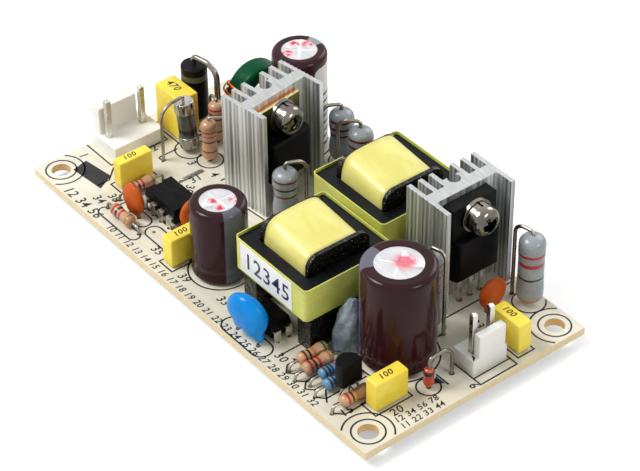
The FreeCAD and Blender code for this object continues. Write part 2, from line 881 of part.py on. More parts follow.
def electrolytic(word):
    """Aluminium can with its vent cross, shrunk sleeve, rubber bung and two leads."""
    x = size(f"{word}_can_x")
    y = size(f"{word}_can_y")
    radius = size(f"{word}_can_diameter") / 2
    height = size(f"{word}_can_height")
    wall = size("sleeve_wall")
    corner = size("can_corner")
    mouth = radius * size("can_opening_share")
    seat = radius - size("bung_margin")
    outside = can_side(radius, height, corner, 0)
    inside = can_side(radius, height, corner, wall)
    back_down = []
    for number in range(len(inside) - 1, 0, -1):
        arc = inside[number][2:]
        back_down.append(inside[number - 1][:2] + arc)
    sleeve = [(seat, 0)] + outside + [(mouth, height), (mouth, height - wall), inside[-1][:2]]
    made(f"{word}_can_sleeve", [turned(sleeve + back_down + [(seat, wall)], x, y)])

    can = turned([(0, wall)] + inside + [(0, height - wall)], x, y)
    span = 2 * mouth * 0.86
    wide = size("vent_width")
    depth = size("vent_depth")
    top = board_top + height - wall - depth
    across = Part.makeBox(span, wide, depth, Vector(x - span / 2, y - wide / 2, top))
    along = Part.makeBox(wide, span, depth, Vector(x - wide / 2, y - span / 2, top))
    for groove in (across, along):
        groove.rotate(Vector(x, y, top), Vector(0, 0, 1), size(f"{word}_can_vent_turn"))
    bung = Part.makeCylinder(seat, size("bung_height"), Vector(x, y, board_top))
    made(f"{word}_can", [can.cut([across.fuse(along), bung])])
    half = size(f"{word}_can_pitch") / 2
    leads = [straight_lead(x, y + side * half, 0, size("electrolytic_lead_diameter")) for side in (-1, 1)]
    return bung, leads


def film(word, axis):
    """Box capacitor with rounded edges, long side along the axis, and its two leads."""
    long_side = f"{word}_film_length"
    short_side = f"{word}_film_width"
    sides = (long_side, short_side) if axis == "x" else (short_side, long_side)
    at = (f"{word}_film_x", f"{word}_film_y")
    case = block(f"{word}_film_case", *sides, f"{word}_film_height - body_gap", *at,
                 "board_top + body_gap")
    case = rounded(f"{word}_film_round", case, size("film_corner"), lambda edge: True)
    subpart(f"{word}_film_capacitor", case)
    x = size(at[0])
    y = size(at[1])
    half = size("film_lead_pitch") / 2
    steps = [(-half, 0), (half, 0)] if axis == "x" else [(0, -half), (0, half)]
    return [straight_lead(x + dx, y + dy, size("body_gap"), size("film_lead_diameter")) for dx, dy in steps]


def lens(radius, thickness):
    """Disc on edge about the Y axis: two shallow spherical faces and a round rim."""
    front = thickness / 2
    rim = front * 0.55
    shoulder = radius - rim
    crown = ((front - rim) ** 2 + shoulder ** 2) / (2 * (front - rim))
    half_turn = math.asin(shoulder / crown) / 2
    face_x = crown * math.sin(half_turn)
    face_y = front - crown + crown * math.cos(half_turn)
    curves = [
        Part.Arc(Vector(0, front, 0), Vector(face_x, face_y, 0), Vector(shoulder, rim, 0)),
        Part.Arc(Vector(shoulder, rim, 0), Vector(radius, 0, 0), Vector(shoulder, -rim, 0)),
        Part.Arc(Vector(shoulder, -rim, 0), Vector(face_x, -face_y, 0), Vector(0, -front, 0)),
        Part.LineSegment(Vector(0, -front, 0), Vector(0, front, 0)),
    ]
    section = Part.Face(Part.Wire([curve.toShape() for curve in curves]))
    body = section.revolve(Vector(0, 0, 0), Vector(0, 1, 0), 360)
    body.rotate(Vector(0, 0, 0), Vector(0, 1, 0), -90)
    if body.Volume < 0:
        body.reverse()
    return body


def disc(kind, place, axis):
    """Dipped disc on edge: a lens that may lean, with its coating run down two leads."""
    x, y = place
    diameter = size(f"{kind}_disc_diameter")
    thickness = size(f"{kind}_disc_thickness")
    half = size(f"{kind}_disc_pitch") / 2
    rise = size(f"{kind}_disc_rise")
    radius = diameter / 2
    body = lens(radius, thickness)
    body.rotate(Vector(0, 0, 0), Vector(1, 0, 0), size(f"{kind}_disc_lean"))
    lead = size("disc_lead_diameter")
    for side in (-1, 1):
        foot = Vector(side * half, 0, -radius - rise * 0.6)
        body = body.fuse(Part.makeCone(lead * 0.75, lead * 1.6, radius * 0.9, foot))
    turn = 90 if axis == "y" else 0
    body.Placement = Placement(Vector(x, y, board_top + rise + radius), Rotation(Vector(0, 0, 1), turn))
    ends = []
    for side in (-half, half):
        lead_x, lead_y = (x, y + side) if axis == "y" else (x + side, y)
        hole(lead_x, lead_y, lead)
        ends.append(Part.makeCylinder(lead / 2, board_top + rise * 0.4, Vector(lead_x, lead_y, 0)))
    return body.removeSplitter(), ends


# Axial parts

def barrel(length, diameter, waist=0.92):
    """Coated resistor body on the Z axis: two round bulbs with a slimmer middle."""
    bulb = diameter / 2
    thin = bulb * waist
    nose = bulb * 0.28
    shoulder = bulb * 0.95
    neck = shoulder + bulb * 0.75
    right = [
        Part.LineSegment(Vector(0, 0, 0), Vector(nose, 0, 0)),
        Part.Arc(Vector(nose, 0, 0), Vector(bulb * 0.86, 0, shoulder * 0.42), Vector(bulb, 0, shoulder)),
        Part.LineSegment(Vector(bulb, 0, shoulder), Vector(thin, 0, neck)),
        Part.LineSegment(Vector(thin, 0, neck), Vector(thin, 0, length - neck)),
        Part.LineSegment(Vector(thin, 0, length - neck), Vector(bulb, 0, length - shoulder)),
        Part.Arc(Vector(bulb, 0, length - shoulder), Vector(bulb * 0.86, 0, length - shoulder * 0.42),
                 Vector(nose, 0, length)),
        Part.LineSegment(Vector(nose, 0, length), Vector(0, 0, length)),
        Part.LineSegment(Vector(0, 0, length), Vector(0, 0, 0)),
    ]
    face = Part.Face(Part.Wire([curve.toShape() for curve in right]))
    return face.revolve(Vector(0, 0, 0), Vector(0, 0, 1), 360)


def lying(kind, x, y, axis, lead):
    """A resistor on its side: the body and its two bent leads."""
    length = size(f"{kind}_resistor_length")
    diameter = size(f"{kind}_resistor_diameter")
    level = size("body_gap") + diameter / 2
    body = barrel(length, diameter)
    body.translate(Vector(0, 0, -length / 2))
    turn = Rotation(Vector(0, 1, 0), 90) if axis == "x" else Rotation(Vector(1, 0, 0), -90)
    body.Placement = Placement(Vector(x, y, board_top + level), turn).multiply(body.Placement)
    leads = []
    half = size("lying_pitch") / 2
    for side in (-1, 1):
        if axis == "x":
            near, far = (x + side * length / 2, y), (x + side * half, y)
        else:
            near, far = (x, y + side * length / 2), (x, y + side * half)
        hole(*far, lead)
        points = [(*near, board_top + level), (*far, board_top + level), (*far, 0)]
        leads.append(wire(points, lead, 0.9))
    return body, leads


def standing(kind, x, y, return_x, return_y, lead, loop):
    """A resistor on its end: the body, its straight lead and its hairpin lead."""
    length = size(f"{kind}_resistor_length")
    body = barrel(length, size(f"{kind}_resistor_diameter"))
    rise = size("upright_rise")
    body.translate(Vector(x, y, board_top + rise))
    leads = [straight_lead(x, y, rise, lead),
             hairpin(x, y, rise + length, loop, return_x, return_y, lead)]
    return body, leads


def tube_on_end(name, x, y, rise, length, diameter):
    """A round body on its end with slightly rounded rims."""
    body = Part.makeCylinder(diameter / 2, length, Vector(x, y, board_top + rise))
    rims = [edge for edge in body.Edges if is_round(edge)]
    made(name, [body.makeFillet(min(diameter, length) * 0.08, rims)])


# Chips

def chip_pin(x, y, outward, level):
    """A bent pin: a flat shoulder out of the body, then a narrow leg through the board."""
    wide = size("chip_pin_shoulder")
    narrow = size("chip_pin_width")
    thick = size("chip_pin_thickness")
    reach, axis = outward
    run = abs(reach)
    if axis == "y":
        low = min(y, y - reach)
        arm = Part.makeBox(wide, run, thick, Vector(x - wide / 2, low, board_top + level))
        drop = Part.makeBox(wide, thick, level, Vector(x - wide / 2, y - thick / 2, board_top))
        cap = Part.makeBox(wide, thick, thick, Vector(x - wide / 2, y - thick / 2, board_top + level))
        leg = Part.makeBox(narrow, thick, board_top, Vector(x - narrow / 2, y - thick / 2, 0))
    else:
        low = min(x, x - reach)
        arm = Part.makeBox(run, wide, thick, Vector(low, y - wide / 2, board_top + level))
        drop = Part.makeBox(thick, wide, level, Vector(x - thick / 2, y - wide / 2, board_top))
        cap = Part.makeBox(thick, wide, thick, Vector(x - thick / 2, y - wide / 2, board_top + level))
        leg = Part.makeBox(thick, narrow, board_top, Vector(x - thick / 2, y - narrow / 2, 0))
    hole(x, y, math.hypot(narrow, thick))
    return arm.fuse([drop, cap, leg]).removeSplitter()


def moulded_chip(name, x, y, length, width, height, rise, notch):
    """Moulded body with drafted sides: two tapered halves that meet at the pin plane."""
    draft = 0.25
    middle = board_top + rise + height * 0.5

    def ring(level, inset):
        corners = [Vector(x + sx * (length / 2 - inset), y + sy * (width / 2 - inset), level)
                   for sx, sy in ((-1, -1), (1, -1), (1, 1), (-1, 1), (-1, -1))]
        return Part.makePolygon(corners)

    lower = Part.makeLoft([ring(board_top + rise, draft), ring(middle, 0)], True, True)
    upper = Part.makeLoft([ring(middle, 0), ring(board_top + rise + height, draft)], True, True)
    body = lower.fuse(upper).removeSplitter()
    if notch:
        dent = Part.makeCylinder(size("chip_notch_radius"), 0.4,
                                 Vector(x - length / 2 + draft, y, board_top + rise + height - 0.4))
        body = body.cut(dent)
    made(name, [body])


# Headers

def square_pin(x, y):
    """Square header pin with a pointed top, from above the base to the clipped end."""
    wide = size("header_pin_width")
    top = board_top + size("header_pin_top")
    chamfer = size("header_pin_chamfer")
    post = Part.makeBox(wide, wide, top, Vector(x - wide / 2, y - wide / 2, 0))
    rim = [edge for edge in post.Edges if edge.CenterOfMass.z > top - 1e-6]
    hole(x, y, wide, wide)
    return post.makeChamfer(chamfer, rim)


def header(word, wall_side, wall_shift, pins):
    """Moulded base with a locking wall on one side and square pins through it."""
    at = (f"{word}_header_x", f"{word}_header_y")
    base = block(f"{word}_base", f"{word}_header_depth", f"{word}_header_length", "header_base_height",
                 *at, "board_top")
    edge = f"{at[0]} {wall_side} {word}_header_depth / 2"
    inward = "+" if wall_side == "-" else "-"
    wall = block(f"{word}_wall", f"{word}_wall_thickness", f"{word}_wall_length", f"{word}_wall_height",
                 f"{edge} {inward} {word}_wall_thickness / 2", f"{at[1]} {wall_shift}", "board_top")
    whole = fuse(f"{word}_housing", base, wall)
    x = size(at[0])
    side = -1 if wall_side == "-" else 1
    pin_x = x + side * (size(f"{word}_header_depth") / 2) - side * size(f"{word}_pin_inset")
    posts = [square_pin(pin_x, pin_y) for pin_y in pins]
    holes = doc.addObject("Part::Feature", f"{word}_pin_holes")
    holes.Shape = Part.makeCompound(posts)
    subpart(f"{word}_header", cut(f"{word}_header_cut", whole, holes))
    return posts


# Fuse, choke, adhesive and the other small parts


def glass_fuse():
    """Glass tube on its end with two pressed caps, the wire inside and its leads; it leans a little."""
    x = size("fuse_x")
    y = size("fuse_y")
    low = board_top + size("fuse_rise")
    radius = size("fuse_diameter") / 2
    wall = size("fuse_cap_wall")
    length = size("fuse_length")
    glass = Part.makeCylinder(radius, length, Vector(x, y, low))
    glass = glass.cut(Part.makeCylinder(radius * 0.7, length, Vector(x, y, low)))
    foot = Vector(x, y, low - wall)
    axis = Vector(0.41, -0.91, 0)
    lean = size("fuse_lean")
    glass.rotate(foot, axis, lean)
    made("fuse_glass", [glass])
    caps = []
    for start, inside in ((low - wall, low), (low + length - size("fuse_cap_length") + wall,
                                              low + length - size("fuse_cap_length"))):
        shell = Part.makeCylinder(radius + wall, size("fuse_cap_length"), Vector(x, y, start))
        rims = [edge for edge in shell.Edges if is_round(edge)]
        shell = shell.makeFillet(wall * 0.9, rims)
        bore_start = low if start < low else start
        bore_length = size("fuse_cap_length") - wall
        cap = shell.cut(Part.makeCylinder(radius, bore_length, Vector(x, y, bore_start)))
        cap.rotate(foot, axis, lean)
        caps.append(cap)
    made("fuse_end_caps", caps)
    element = size("fuse_element_diameter") / 2
    lead = size("fuse_lead_diameter")
    strand = Part.makeCylinder(element, length, Vector(x, y, low))
    strand.rotate(foot, axis, lean)
    top = foot + Rotation(axis, lean).multVec(Vector(0, 0, length + 2 * wall))
    return [
        strand,
        straight_lead(x, y, size("fuse_rise") - wall, lead),
        hairpin(top.x, top.y, top.z - board_top, 1.0, size("fuse_return_x"), size("fuse_return_y"), lead),
    ]


def choke():
    """Ring core standing on edge across the board, two windings on its sides and four leads."""
    x = size("choke_x")
    y = size("choke_y")
    outer = size("choke_outer_diameter") / 2
    inner = size("choke_inner_diameter") / 2
    width = size("choke_width")
    upright = Placement(Vector(x, y, board_top + size("choke_level")), Rotation(Vector(0, 1, 0), 90))
    core = Part.makeCylinder(outer, width, Vector(0, 0, -width / 2))
    core = core.cut(Part.makeCylinder(inner, width, Vector(0, 0, -width / 2)))
    rims = [edge for edge in core.Edges if is_round(edge)]
    core = core.makeFillet(size("choke_corner"), rims)
    made("choke_core", [core], upright)
    gauge = size("choke_wire_diameter")
    skin = gauge / 2
    half_span = (size("choke_turns") - 1) / 2 * size("choke_step")
    turns = []
    for side in (90, 270):
        for number in range(int(size("choke_turns"))):
            angle = side - half_span + number * size("choke_step")
            loop = rounded_loop(inner - skin, outer + skin, -width / 2 - skin, width / 2 + skin,
                                size("choke_corner") + skin)
            ring = Part.Wire([Part.Circle(Vector(inner - skin, 0, 0), Vector(0, 0, 1), skin).toShape()])
            turn = loop.makePipeShell([ring], True, False)
            turn.rotate(Vector(0, 0, 0), Vector(0, 0, 1), angle)
            turn.Placement = upright.multiply(turn.Placement)
            turns.append(turn)
    reach = (outer + skin) * math.cos(math.radians(half_span))
    drop = (outer + skin) * math.sin(math.radians(half_span)) + skin
    for side_y in (-1, 1):
        for side_x in (-1, 1):
            turns.append(straight_lead(x + side_x * width / 4, y + side_y * reach,
                                       size("choke_level") - drop, gauge))
    made("choke_winding", turns)


def rounded_loop(near, far, bottom, top, corner):
    """A rounded rectangle in the plane through the ring's axis."""
    middle = (bottom + top) / 2
    points = [(near, 0, middle), (near, 0, top), (far, 0, top), (far, 0, bottom), (near, 0, bottom),
              (near, 0, middle)]
    return bent_path(points, corner)


def adhesive():
    """Blob of set silicone between the main transformer and the output capacitor."""
    lump = Part.makeSphere(1.0, Vector(0, 0, 0))
    shape = FreeCAD.Matrix()
    shape.scale(size("blob_length") / 2, size("blob_width") / 2, size("blob_height"))
    lump = lump.transformGeometry(shape)
    lump.translate(Vector(size("blob_x"), size("blob_y"), board_top))
    reach = 2 * size("blob_width")
    keep = Part.makeBox(2 * reach, 2 * reach, 2 * reach,
                        Vector(size("blob_x") - reach, size("blob_y") - reach, board_top))
    return lump.common(keep)


def controller():
    """Eight-pin controller and four-pin optocoupler with their bent pins."""
    x = size("chip_x")
    y = size("chip_y")
    level = size("chip_rise") + size("chip_height") / 2 - size("chip_pin_thickness") / 2
    moulded_chip("controller_chip", x, y, size("chip_length"), size("chip_width"), size("chip_height"),
                 size("chip_rise"), True)
    reach = size("chip_row") / 2 - size("chip_width") / 2
    pins = []
    for side in (-1, 1):
        for step in (-1.5, -0.5, 0.5, 1.5):
            pins.append(chip_pin(x + step * size("chip_pitch"), y + side * size("chip_row") / 2,
                                 (side * reach, "y"), level))
    x = size("coupler_x")
    y = size("coupler_y")
    level = size("coupler_rise") + size("coupler_height") / 2 - size("chip_pin_thickness") / 2
    moulded_chip("optocoupler", x, y, size("coupler_width"), size("coupler_length"),
                 size("coupler_height"), size("coupler_rise"), False)
    reach = size("chip_row") / 2 - size("coupler_width") / 2
    for side in (-1, 1):
        for step in (-0.5, 0.5):
            pins.append(chip_pin(x + side * size("chip_row") / 2, y + step * size("chip_pitch"),
                                 (side * reach, "x"), level))
    made("chip_pins", pins)


def small_transistor():
    """Moulded half-round body on three leads in a row."""
    x = size("small_transistor_x")
    y = size("small_transistor_y")
    rise = size("small_transistor_rise")
    radius = size("small_transistor_diameter") / 2
    body = Part.makeCylinder(radius, size("small_transistor_height"), Vector(x, y, board_top + rise))
    flat = x + radius - size("small_transistor_flat")
    body = body.cut(Part.makeBox(radius, 4 * radius, 8 * radius, Vector(flat, y - 2 * radius, board_top)))
    rims = [edge for edge in body.Edges if abs(edge.CenterOfMass.z - board_top - rise) < 1e-6
            or edge.CenterOfMass.z > board_top + rise + size("small_transistor_height") - 1e-6]
    made("small_transistor", [body.makeFillet(0.2, rims)])
    leads = []
    lead = size("small_transistor_lead")
    for step in (-1, 0, 1):
        lead_y = y + step * size("small_transistor_pitch")
        hole(x, lead_y, lead)
        close_y = y + step * size("small_transistor_leg_pitch")
        start = (x, close_y, board_top + rise)
        leads.append(wire([start, (x, close_y, board_top + rise - size("small_transistor_leg_drop")),
                           (x, lead_y, board_top + rise - size("small_transistor_leg_spread")),
                           (x, lead_y, 0)], lead, 0.5))
    return leads


def jumper():
    """Bare wire link bridging two holes."""
    x = size("jumper_x")
    y = size("jumper_y")
    half = size("jumper_pitch") / 2
    gauge = size("jumper_diameter")
    hole(x, y - half, gauge)
    hole(x, y + half, gauge)
    over = board_top + gauge / 2
    return wire([(x, y - half, 0), (x, y - half, over), (x, y + half, over), (x, y + half, 0)],
                gauge, 0.5)


# Assembly of the whole supply

package_legs = []
for side in ("left", "right"):
    heatsink(side)
    package_legs += package(side)
made("package_legs", package_legs)
made("heatsink_pins", [sink_pin(side) for side in ("left", "right")])
made("heatsink_screws", [screw(side) for side in ("left", "right")])
made("spring_washers", [washer(side, "spring") for side in ("left", "right")])
made("flat_washers", [washer(side, "flat") for side in ("left", "right")])

transformer("one", "main_transformer")
transformer("two", "second_transformer")
label_y = size("transformer_one_y") - size("core_width") / 2 - size("tape_wall")
made("transformer_label", [Part.makeBox(
    size("label_length"), size("label_thickness"), size("label_height"),
    Vector(size("transformer_one_x") + size("label_shift") - size("label_length") / 2,
           label_y - size("label_thickness"),
           board_top + size("core_level") - size("label_height") / 2))])

bungs = []
capacitor_leads = []
for word in ("back", "centre", "output"):
    bung, leads = electrolytic(word)
    bungs.append(bung)
    capacitor_leads += leads
made("can_bungs", bungs)
for word, axis in (("input", "x"), ("left", "y"), ("front", "y"), ("output", "y"), ("right", "x")):
    capacitor_leads += film(word, axis)

DISCS = (("blue", "blue", "x"), ("left", "orange", "x"), ("middle", "orange", "y"),
         ("right", "orange", "y"))
for word, kind, axis in DISCS:
    body, leads = disc(kind, (size(f"{word}_disc_x"), size(f"{word}_disc_y")), axis)
    made(f"{word}_disc_capacitor", [body])
    capacitor_leads += leads

tan_bodies = []
blue_bodies = []
grey_bodies = []
resistor_leads = []
TAN_LYING = (("x", -26.3, -21.3), ("y", -31.9, -13.1), ("y", 26.6, -17.6), ("y", 29.2, -18.4),
             ("y", 39.7, -18.6))
BLUE_LYING = (("y", 31.9, -17.2), ("y", 34.6, -18.2))
for axis, x, y in TAN_LYING:
    body, leads = lying("small", x, y, axis, size("small_resistor_lead"))
    tan_bodies.append(body)
    resistor_leads += leads
for axis, x, y in BLUE_LYING:
    body, leads = lying("metal", x, y, axis, size("small_resistor_lead"))
    blue_bodies.append(body)
    resistor_leads += leads
TAN_STANDING = (("medium", -31.2, 2.8, -28.6, 6.4, 0.6), ("medium", -35.2, 7.6, -37.7, 8.0, 0.5))
for kind, x, y, return_x, return_y, loop in TAN_STANDING:
    body, leads = standing(kind, x, y, return_x, return_y, size("small_resistor_lead"), loop)
    tan_bodies.append(body)
    resistor_leads += leads
GREY_STANDING = (("power", -6.9, 2.7, -5.2, 6.4, 1.4), ("power", -14.9, 22.7, -16.9, 19.4, 1.2),
                 ("power", -8.0, 21.8, -11.4, 18.8, 1.4), ("tall", 33.2, 3.9, 36.2, 4.6, 1.0),
                 ("large", 39.3, 22.4, 35.6, 21.6, 0.8))
for kind, x, y, return_x, return_y, loop in GREY_STANDING:
    body, leads = standing(kind, x, y, return_x, return_y, size("power_resistor_lead"), loop)
    grey_bodies.append(body)
    resistor_leads += leads
made("tan_resistors", tan_bodies)
made("blue_resistors", blue_bodies)
made("grey_resistors", grey_bodies)

tube_on_end("rectifier_diode", size("diode_x"), size("diode_y"), size("diode_rise"),
            size("diode_length"), size("diode_diameter"))
tube_on_end("glass_diode", size("glass_diode_x"), size("glass_diode_y"), size("glass_diode_rise"),
            size("glass_diode_length"), size("glass_diode_diameter"))
made("diode_leads", [
    straight_lead(size("diode_x"), size("diode_y"), size("diode_rise"), size("diode_lead_diameter")),
    hairpin(size("diode_x"), size("diode_y"), size("diode_rise") + size("diode_length"),
            size("diode_bend_rise"),
            size("diode_return_x"), size("diode_return_y"), size("diode_lead_diameter")),
    straight_lead(size("glass_diode_x"), size("glass_diode_y"), size("glass_diode_rise"),
                  size("glass_diode_lead_diameter")),
    hairpin(size("glass_diode_x"), size("glass_diode_y"),
            size("glass_diode_rise") + size("glass_diode_length"), size("glass_diode_bend_rise"),
            size("glass_diode_return_x"), size("glass_diode_return_y"),
            size("glass_diode_lead_diameter")),
])

component_leads = capacitor_leads + resistor_leads + glass_fuse() + small_transistor() + [jumper()]
made("component_leads", component_leads)
choke()
controller()

INPUT_PINS = [size("input_header_y") + size("input_pin_shift") + side * size("header_pitch")
              for side in (-1, 1)]
OUTPUT_PINS = [size("output_header_y") + side * size("header_pitch") / 2 for side in (-1, 1)]
made("input_pins", header("input", "-", "- 0.95", INPUT_PINS))
made("output_pins", header("output", "+", "+ 0.4", OUTPUT_PINS))

can_room = Part.makeCylinder(size("output_can_diameter") / 2, size("output_can_height"),
                             Vector(size("output_can_x"), size("output_can_y"), board_top))
beside = [item.Shape for item in subparts
          if item.Label.startswith("main_transformer")
          or item.Label in ("component_leads", "tan_resistors", "blue_resistors")]
blob = adhesive().cut([can_room] + beside)
made("silicone_adhesive", [max(blob.Solids, key=lambda solid: solid.Volume)])


# Board with its holes, and a solder joint round every lead

def constrain_rectangle(sketch, wide, high):
    """Draws a rectangle centred on the origin whose two sizes are sheet expressions."""
    half_x = size(wide) / 2
    half_y = size(high) / 2
    corners = [Vector(-half_x, -half_y, 0), Vector(half_x, -half_y, 0), Vector(half_x, half_y, 0),
               Vector(-half_x, half_y, 0)]
    for start, end in zip(corners, corners[1:] + corners[:1]):
        sketch.addGeometry(Part.LineSegment(start, end))
    for line in range(4):
        sketch.addConstraint(Sketcher.Constraint("Coincident", line, 2, (line + 1) % 4, 1))
    for line, kind in ((0, "Horizontal"), (1, "Vertical"), (2, "Horizontal"), (3, "Vertical")):
        sketch.addConstraint(Sketcher.Constraint(kind, line))
    sketch.addConstraint(Sketcher.Constraint("Symmetric", 0, 1, 2, 1, -1, 1))
    sketch.addConstraint(Sketcher.Constraint("DistanceX", 0, 1, 0, 2, 2 * half_x))
    sketch.addConstraint(Sketcher.Constraint("DistanceY", 1, 1, 1, 2, 2 * half_y))
    sketch.setExpression("Constraints[9]", "Sizes." + wide)
    sketch.setExpression("Constraints[10]", "Sizes." + high)


board = doc.addObject("PartDesign::Body", "board_body")
outline = sketch_on(board, "board_outline", plane_of(board, "XY_Plane"))
constrain_rectangle(outline, "board_length", "board_width")
laminate_pad = board.newObject("PartDesign::Pad", "board_pad")
laminate_pad.Profile = outline
laminate_pad.setExpression("Length", "Sizes.board_thickness")
doc.recompute()
drilling = sketch_on(board, "board_drilling", plane_of(board, "XY_Plane"))
upward = Vector(0, 0, 1)
span_x = size("board_length") / 2 - size("mount_hole_inset")
span_y = size("board_width") / 2 - size("mount_hole_inset")
for side_x in (-1, 1):
    for side_y in (-1, 1):
        centre = Vector(side_x * span_x, side_y * span_y, 0)
        drilling.addGeometry(Part.Circle(centre, upward, size("mount_hole_diameter") / 2))
for x, y, wide, deep in openings:
    across = math.hypot(wide, deep) if deep else wide
    drilling.addGeometry(Part.Circle(Vector(x, y, 0), upward, across / 2 + size("hole_clearance")))
SPARE_HOLES = ((-19.9, -18.7), (-32.2, -18.9))
for x, y in SPARE_HOLES:
    drilling.addGeometry(Part.Circle(Vector(x, y, 0), upward, 0.4))
drill = board.newObject("PartDesign::Pocket", "board_drill")
drill.Profile = drilling
drill.Type = "ThroughAll"
drill.Reversed = True
doc.recompute()
board.setExpression("Placement.Base.z", "Sizes.lead_stub")
subpart("circuit_board", board)

joints = []
bottom = size("lead_stub")
for x, y, wide, deep in openings:
    across = math.hypot(wide, deep) if deep else wide
    joint = Part.makeCone(across / 2 + size("solder_tip_wall"), across / 2 + size("solder_pad_wall"),
                          bottom, Vector(x, y, 0))
    joints.append(joint.cut(Part.makeCylinder(across / 2, bottom, Vector(x, y, 0))))
made("solder_joints", joints)

doc.recompute()
troubles = [item.Label for item in doc.Objects if "Invalid" in item.State or "Error" in item.State]
assert not troubles, troubles
os.makedirs("parts", exist_ok=True)
for item in subparts:
    shape = item.Shape
    assert not shape.isNull() and shape.isValid(), item.Label
    assert all(solid.isClosed() for solid in shape.Solids) and shape.Solids, item.Label
    shape.exportStep(f"parts/{item.Label}.step")
    box = shape.BoundBox
    print(f"{item.Label:26s} solids {len(shape.Solids):3d}  volume {shape.Volume:9.2f} mm3  "
          f"x {box.XMin:7.2f} {box.XMax:7.2f}  y {box.YMin:7.2f} {box.YMax:7.2f}  "
          f"z {box.ZMin:6.2f} {box.ZMax:6.2f}")
print("sub-parts", len(subparts))
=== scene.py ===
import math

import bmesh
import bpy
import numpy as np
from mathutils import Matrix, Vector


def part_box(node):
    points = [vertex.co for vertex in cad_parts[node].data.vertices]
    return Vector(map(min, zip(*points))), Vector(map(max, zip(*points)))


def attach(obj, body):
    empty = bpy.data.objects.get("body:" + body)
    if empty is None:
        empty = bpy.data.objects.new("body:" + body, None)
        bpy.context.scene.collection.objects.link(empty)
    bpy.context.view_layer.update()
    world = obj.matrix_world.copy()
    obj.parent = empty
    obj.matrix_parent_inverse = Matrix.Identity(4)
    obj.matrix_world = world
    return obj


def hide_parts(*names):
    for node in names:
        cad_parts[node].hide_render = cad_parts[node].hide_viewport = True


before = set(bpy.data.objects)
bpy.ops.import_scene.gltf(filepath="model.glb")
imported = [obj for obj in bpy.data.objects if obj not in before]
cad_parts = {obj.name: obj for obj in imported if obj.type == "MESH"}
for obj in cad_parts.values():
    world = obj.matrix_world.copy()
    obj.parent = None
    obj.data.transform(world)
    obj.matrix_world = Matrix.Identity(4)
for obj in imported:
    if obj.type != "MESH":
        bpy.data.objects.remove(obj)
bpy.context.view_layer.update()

# %% [markdown]
# # Open frame power supply
# A bare supply: an ivory circuit board, two ferrite transformers, two extruded heatsinks, and
# small parts on their leads. The CAD solids give every size and place, so they are loaded first
# and never moved. This script dresses them: it gives each one a material worked out by nodes,
# and puts finer surfaces where paint bands, bent wire, wound tape or print are what one sees.

MM = 0.001
BOARD_LOW, BOARD_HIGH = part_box("circuit_board")
BOARD_TOP = BOARD_HIGH[2]
print("board top at", round(BOARD_TOP / MM, 2), "mm;", len(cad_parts), "CAD nodes")

# %% [markdown]
# ## Colours
# A colour given here is an sRGB value from 0 to 255, but a shader wants linear light, so one
# helper turns the first into the second. Naming paints this way keeps the later cells readable.

# %% Paint helper
def paint(red, green, blue):
    """Linear colour of an sRGB one: a value under 0.04045 is divided by 12.92, and any other is
    moved and raised to the power 2.4."""
    values = np.array([red, green, blue]) / 255.0
    linear = np.where(values <= 0.04045, values / 12.92, ((values + 0.055) / 1.055) ** 2.4)
    return (*linear.tolist(), 1.0)


print("half grey is", round(paint(128, 128, 128)[0], 3), "in linear light")

# %% [markdown] ## A small kit for materials Every finish here is one Principled shader with a
# few texture nodes in front of it.

# %% Material kit
class Graph:
    """A tree of nodes, with short ways to add one, to link it and to do sums in it."""

    def __init__(self, tree):
        self.tree = tree

    def node(self, kind, **settings):
        """A node of that kind, with its settings set."""
        made = self.tree.nodes.new(kind)
        for setting, value in settings.items():
            setattr(made, setting, value)
        return made

    def feed(self, socket, value):
        """Links an output to a socket, or sets a constant on it."""
        if isinstance(value, bpy.types.NodeSocket):
            self.tree.links.new(value, socket)
        else:
            socket.default_value = value

    def math(self, operation, first, second=0.0, third=0.0):
        """One sum on values."""
        made = self.node("ShaderNodeMath", operation=operation)
        for socket, value in zip(made.inputs, (first, second, third)):
            self.feed(socket, value)
        return made.outputs[0]

    def times(self, first, second):
        """Product of two values."""
        return self.math("MULTIPLY", first, second)

    def slanted(self, first, second):
        """Length of the slant over two sides: the root of the sum of their squares."""
        squares = self.math("MULTIPLY_ADD", first, first, self.times(second, second))
        return self.math("SQRT", squares)


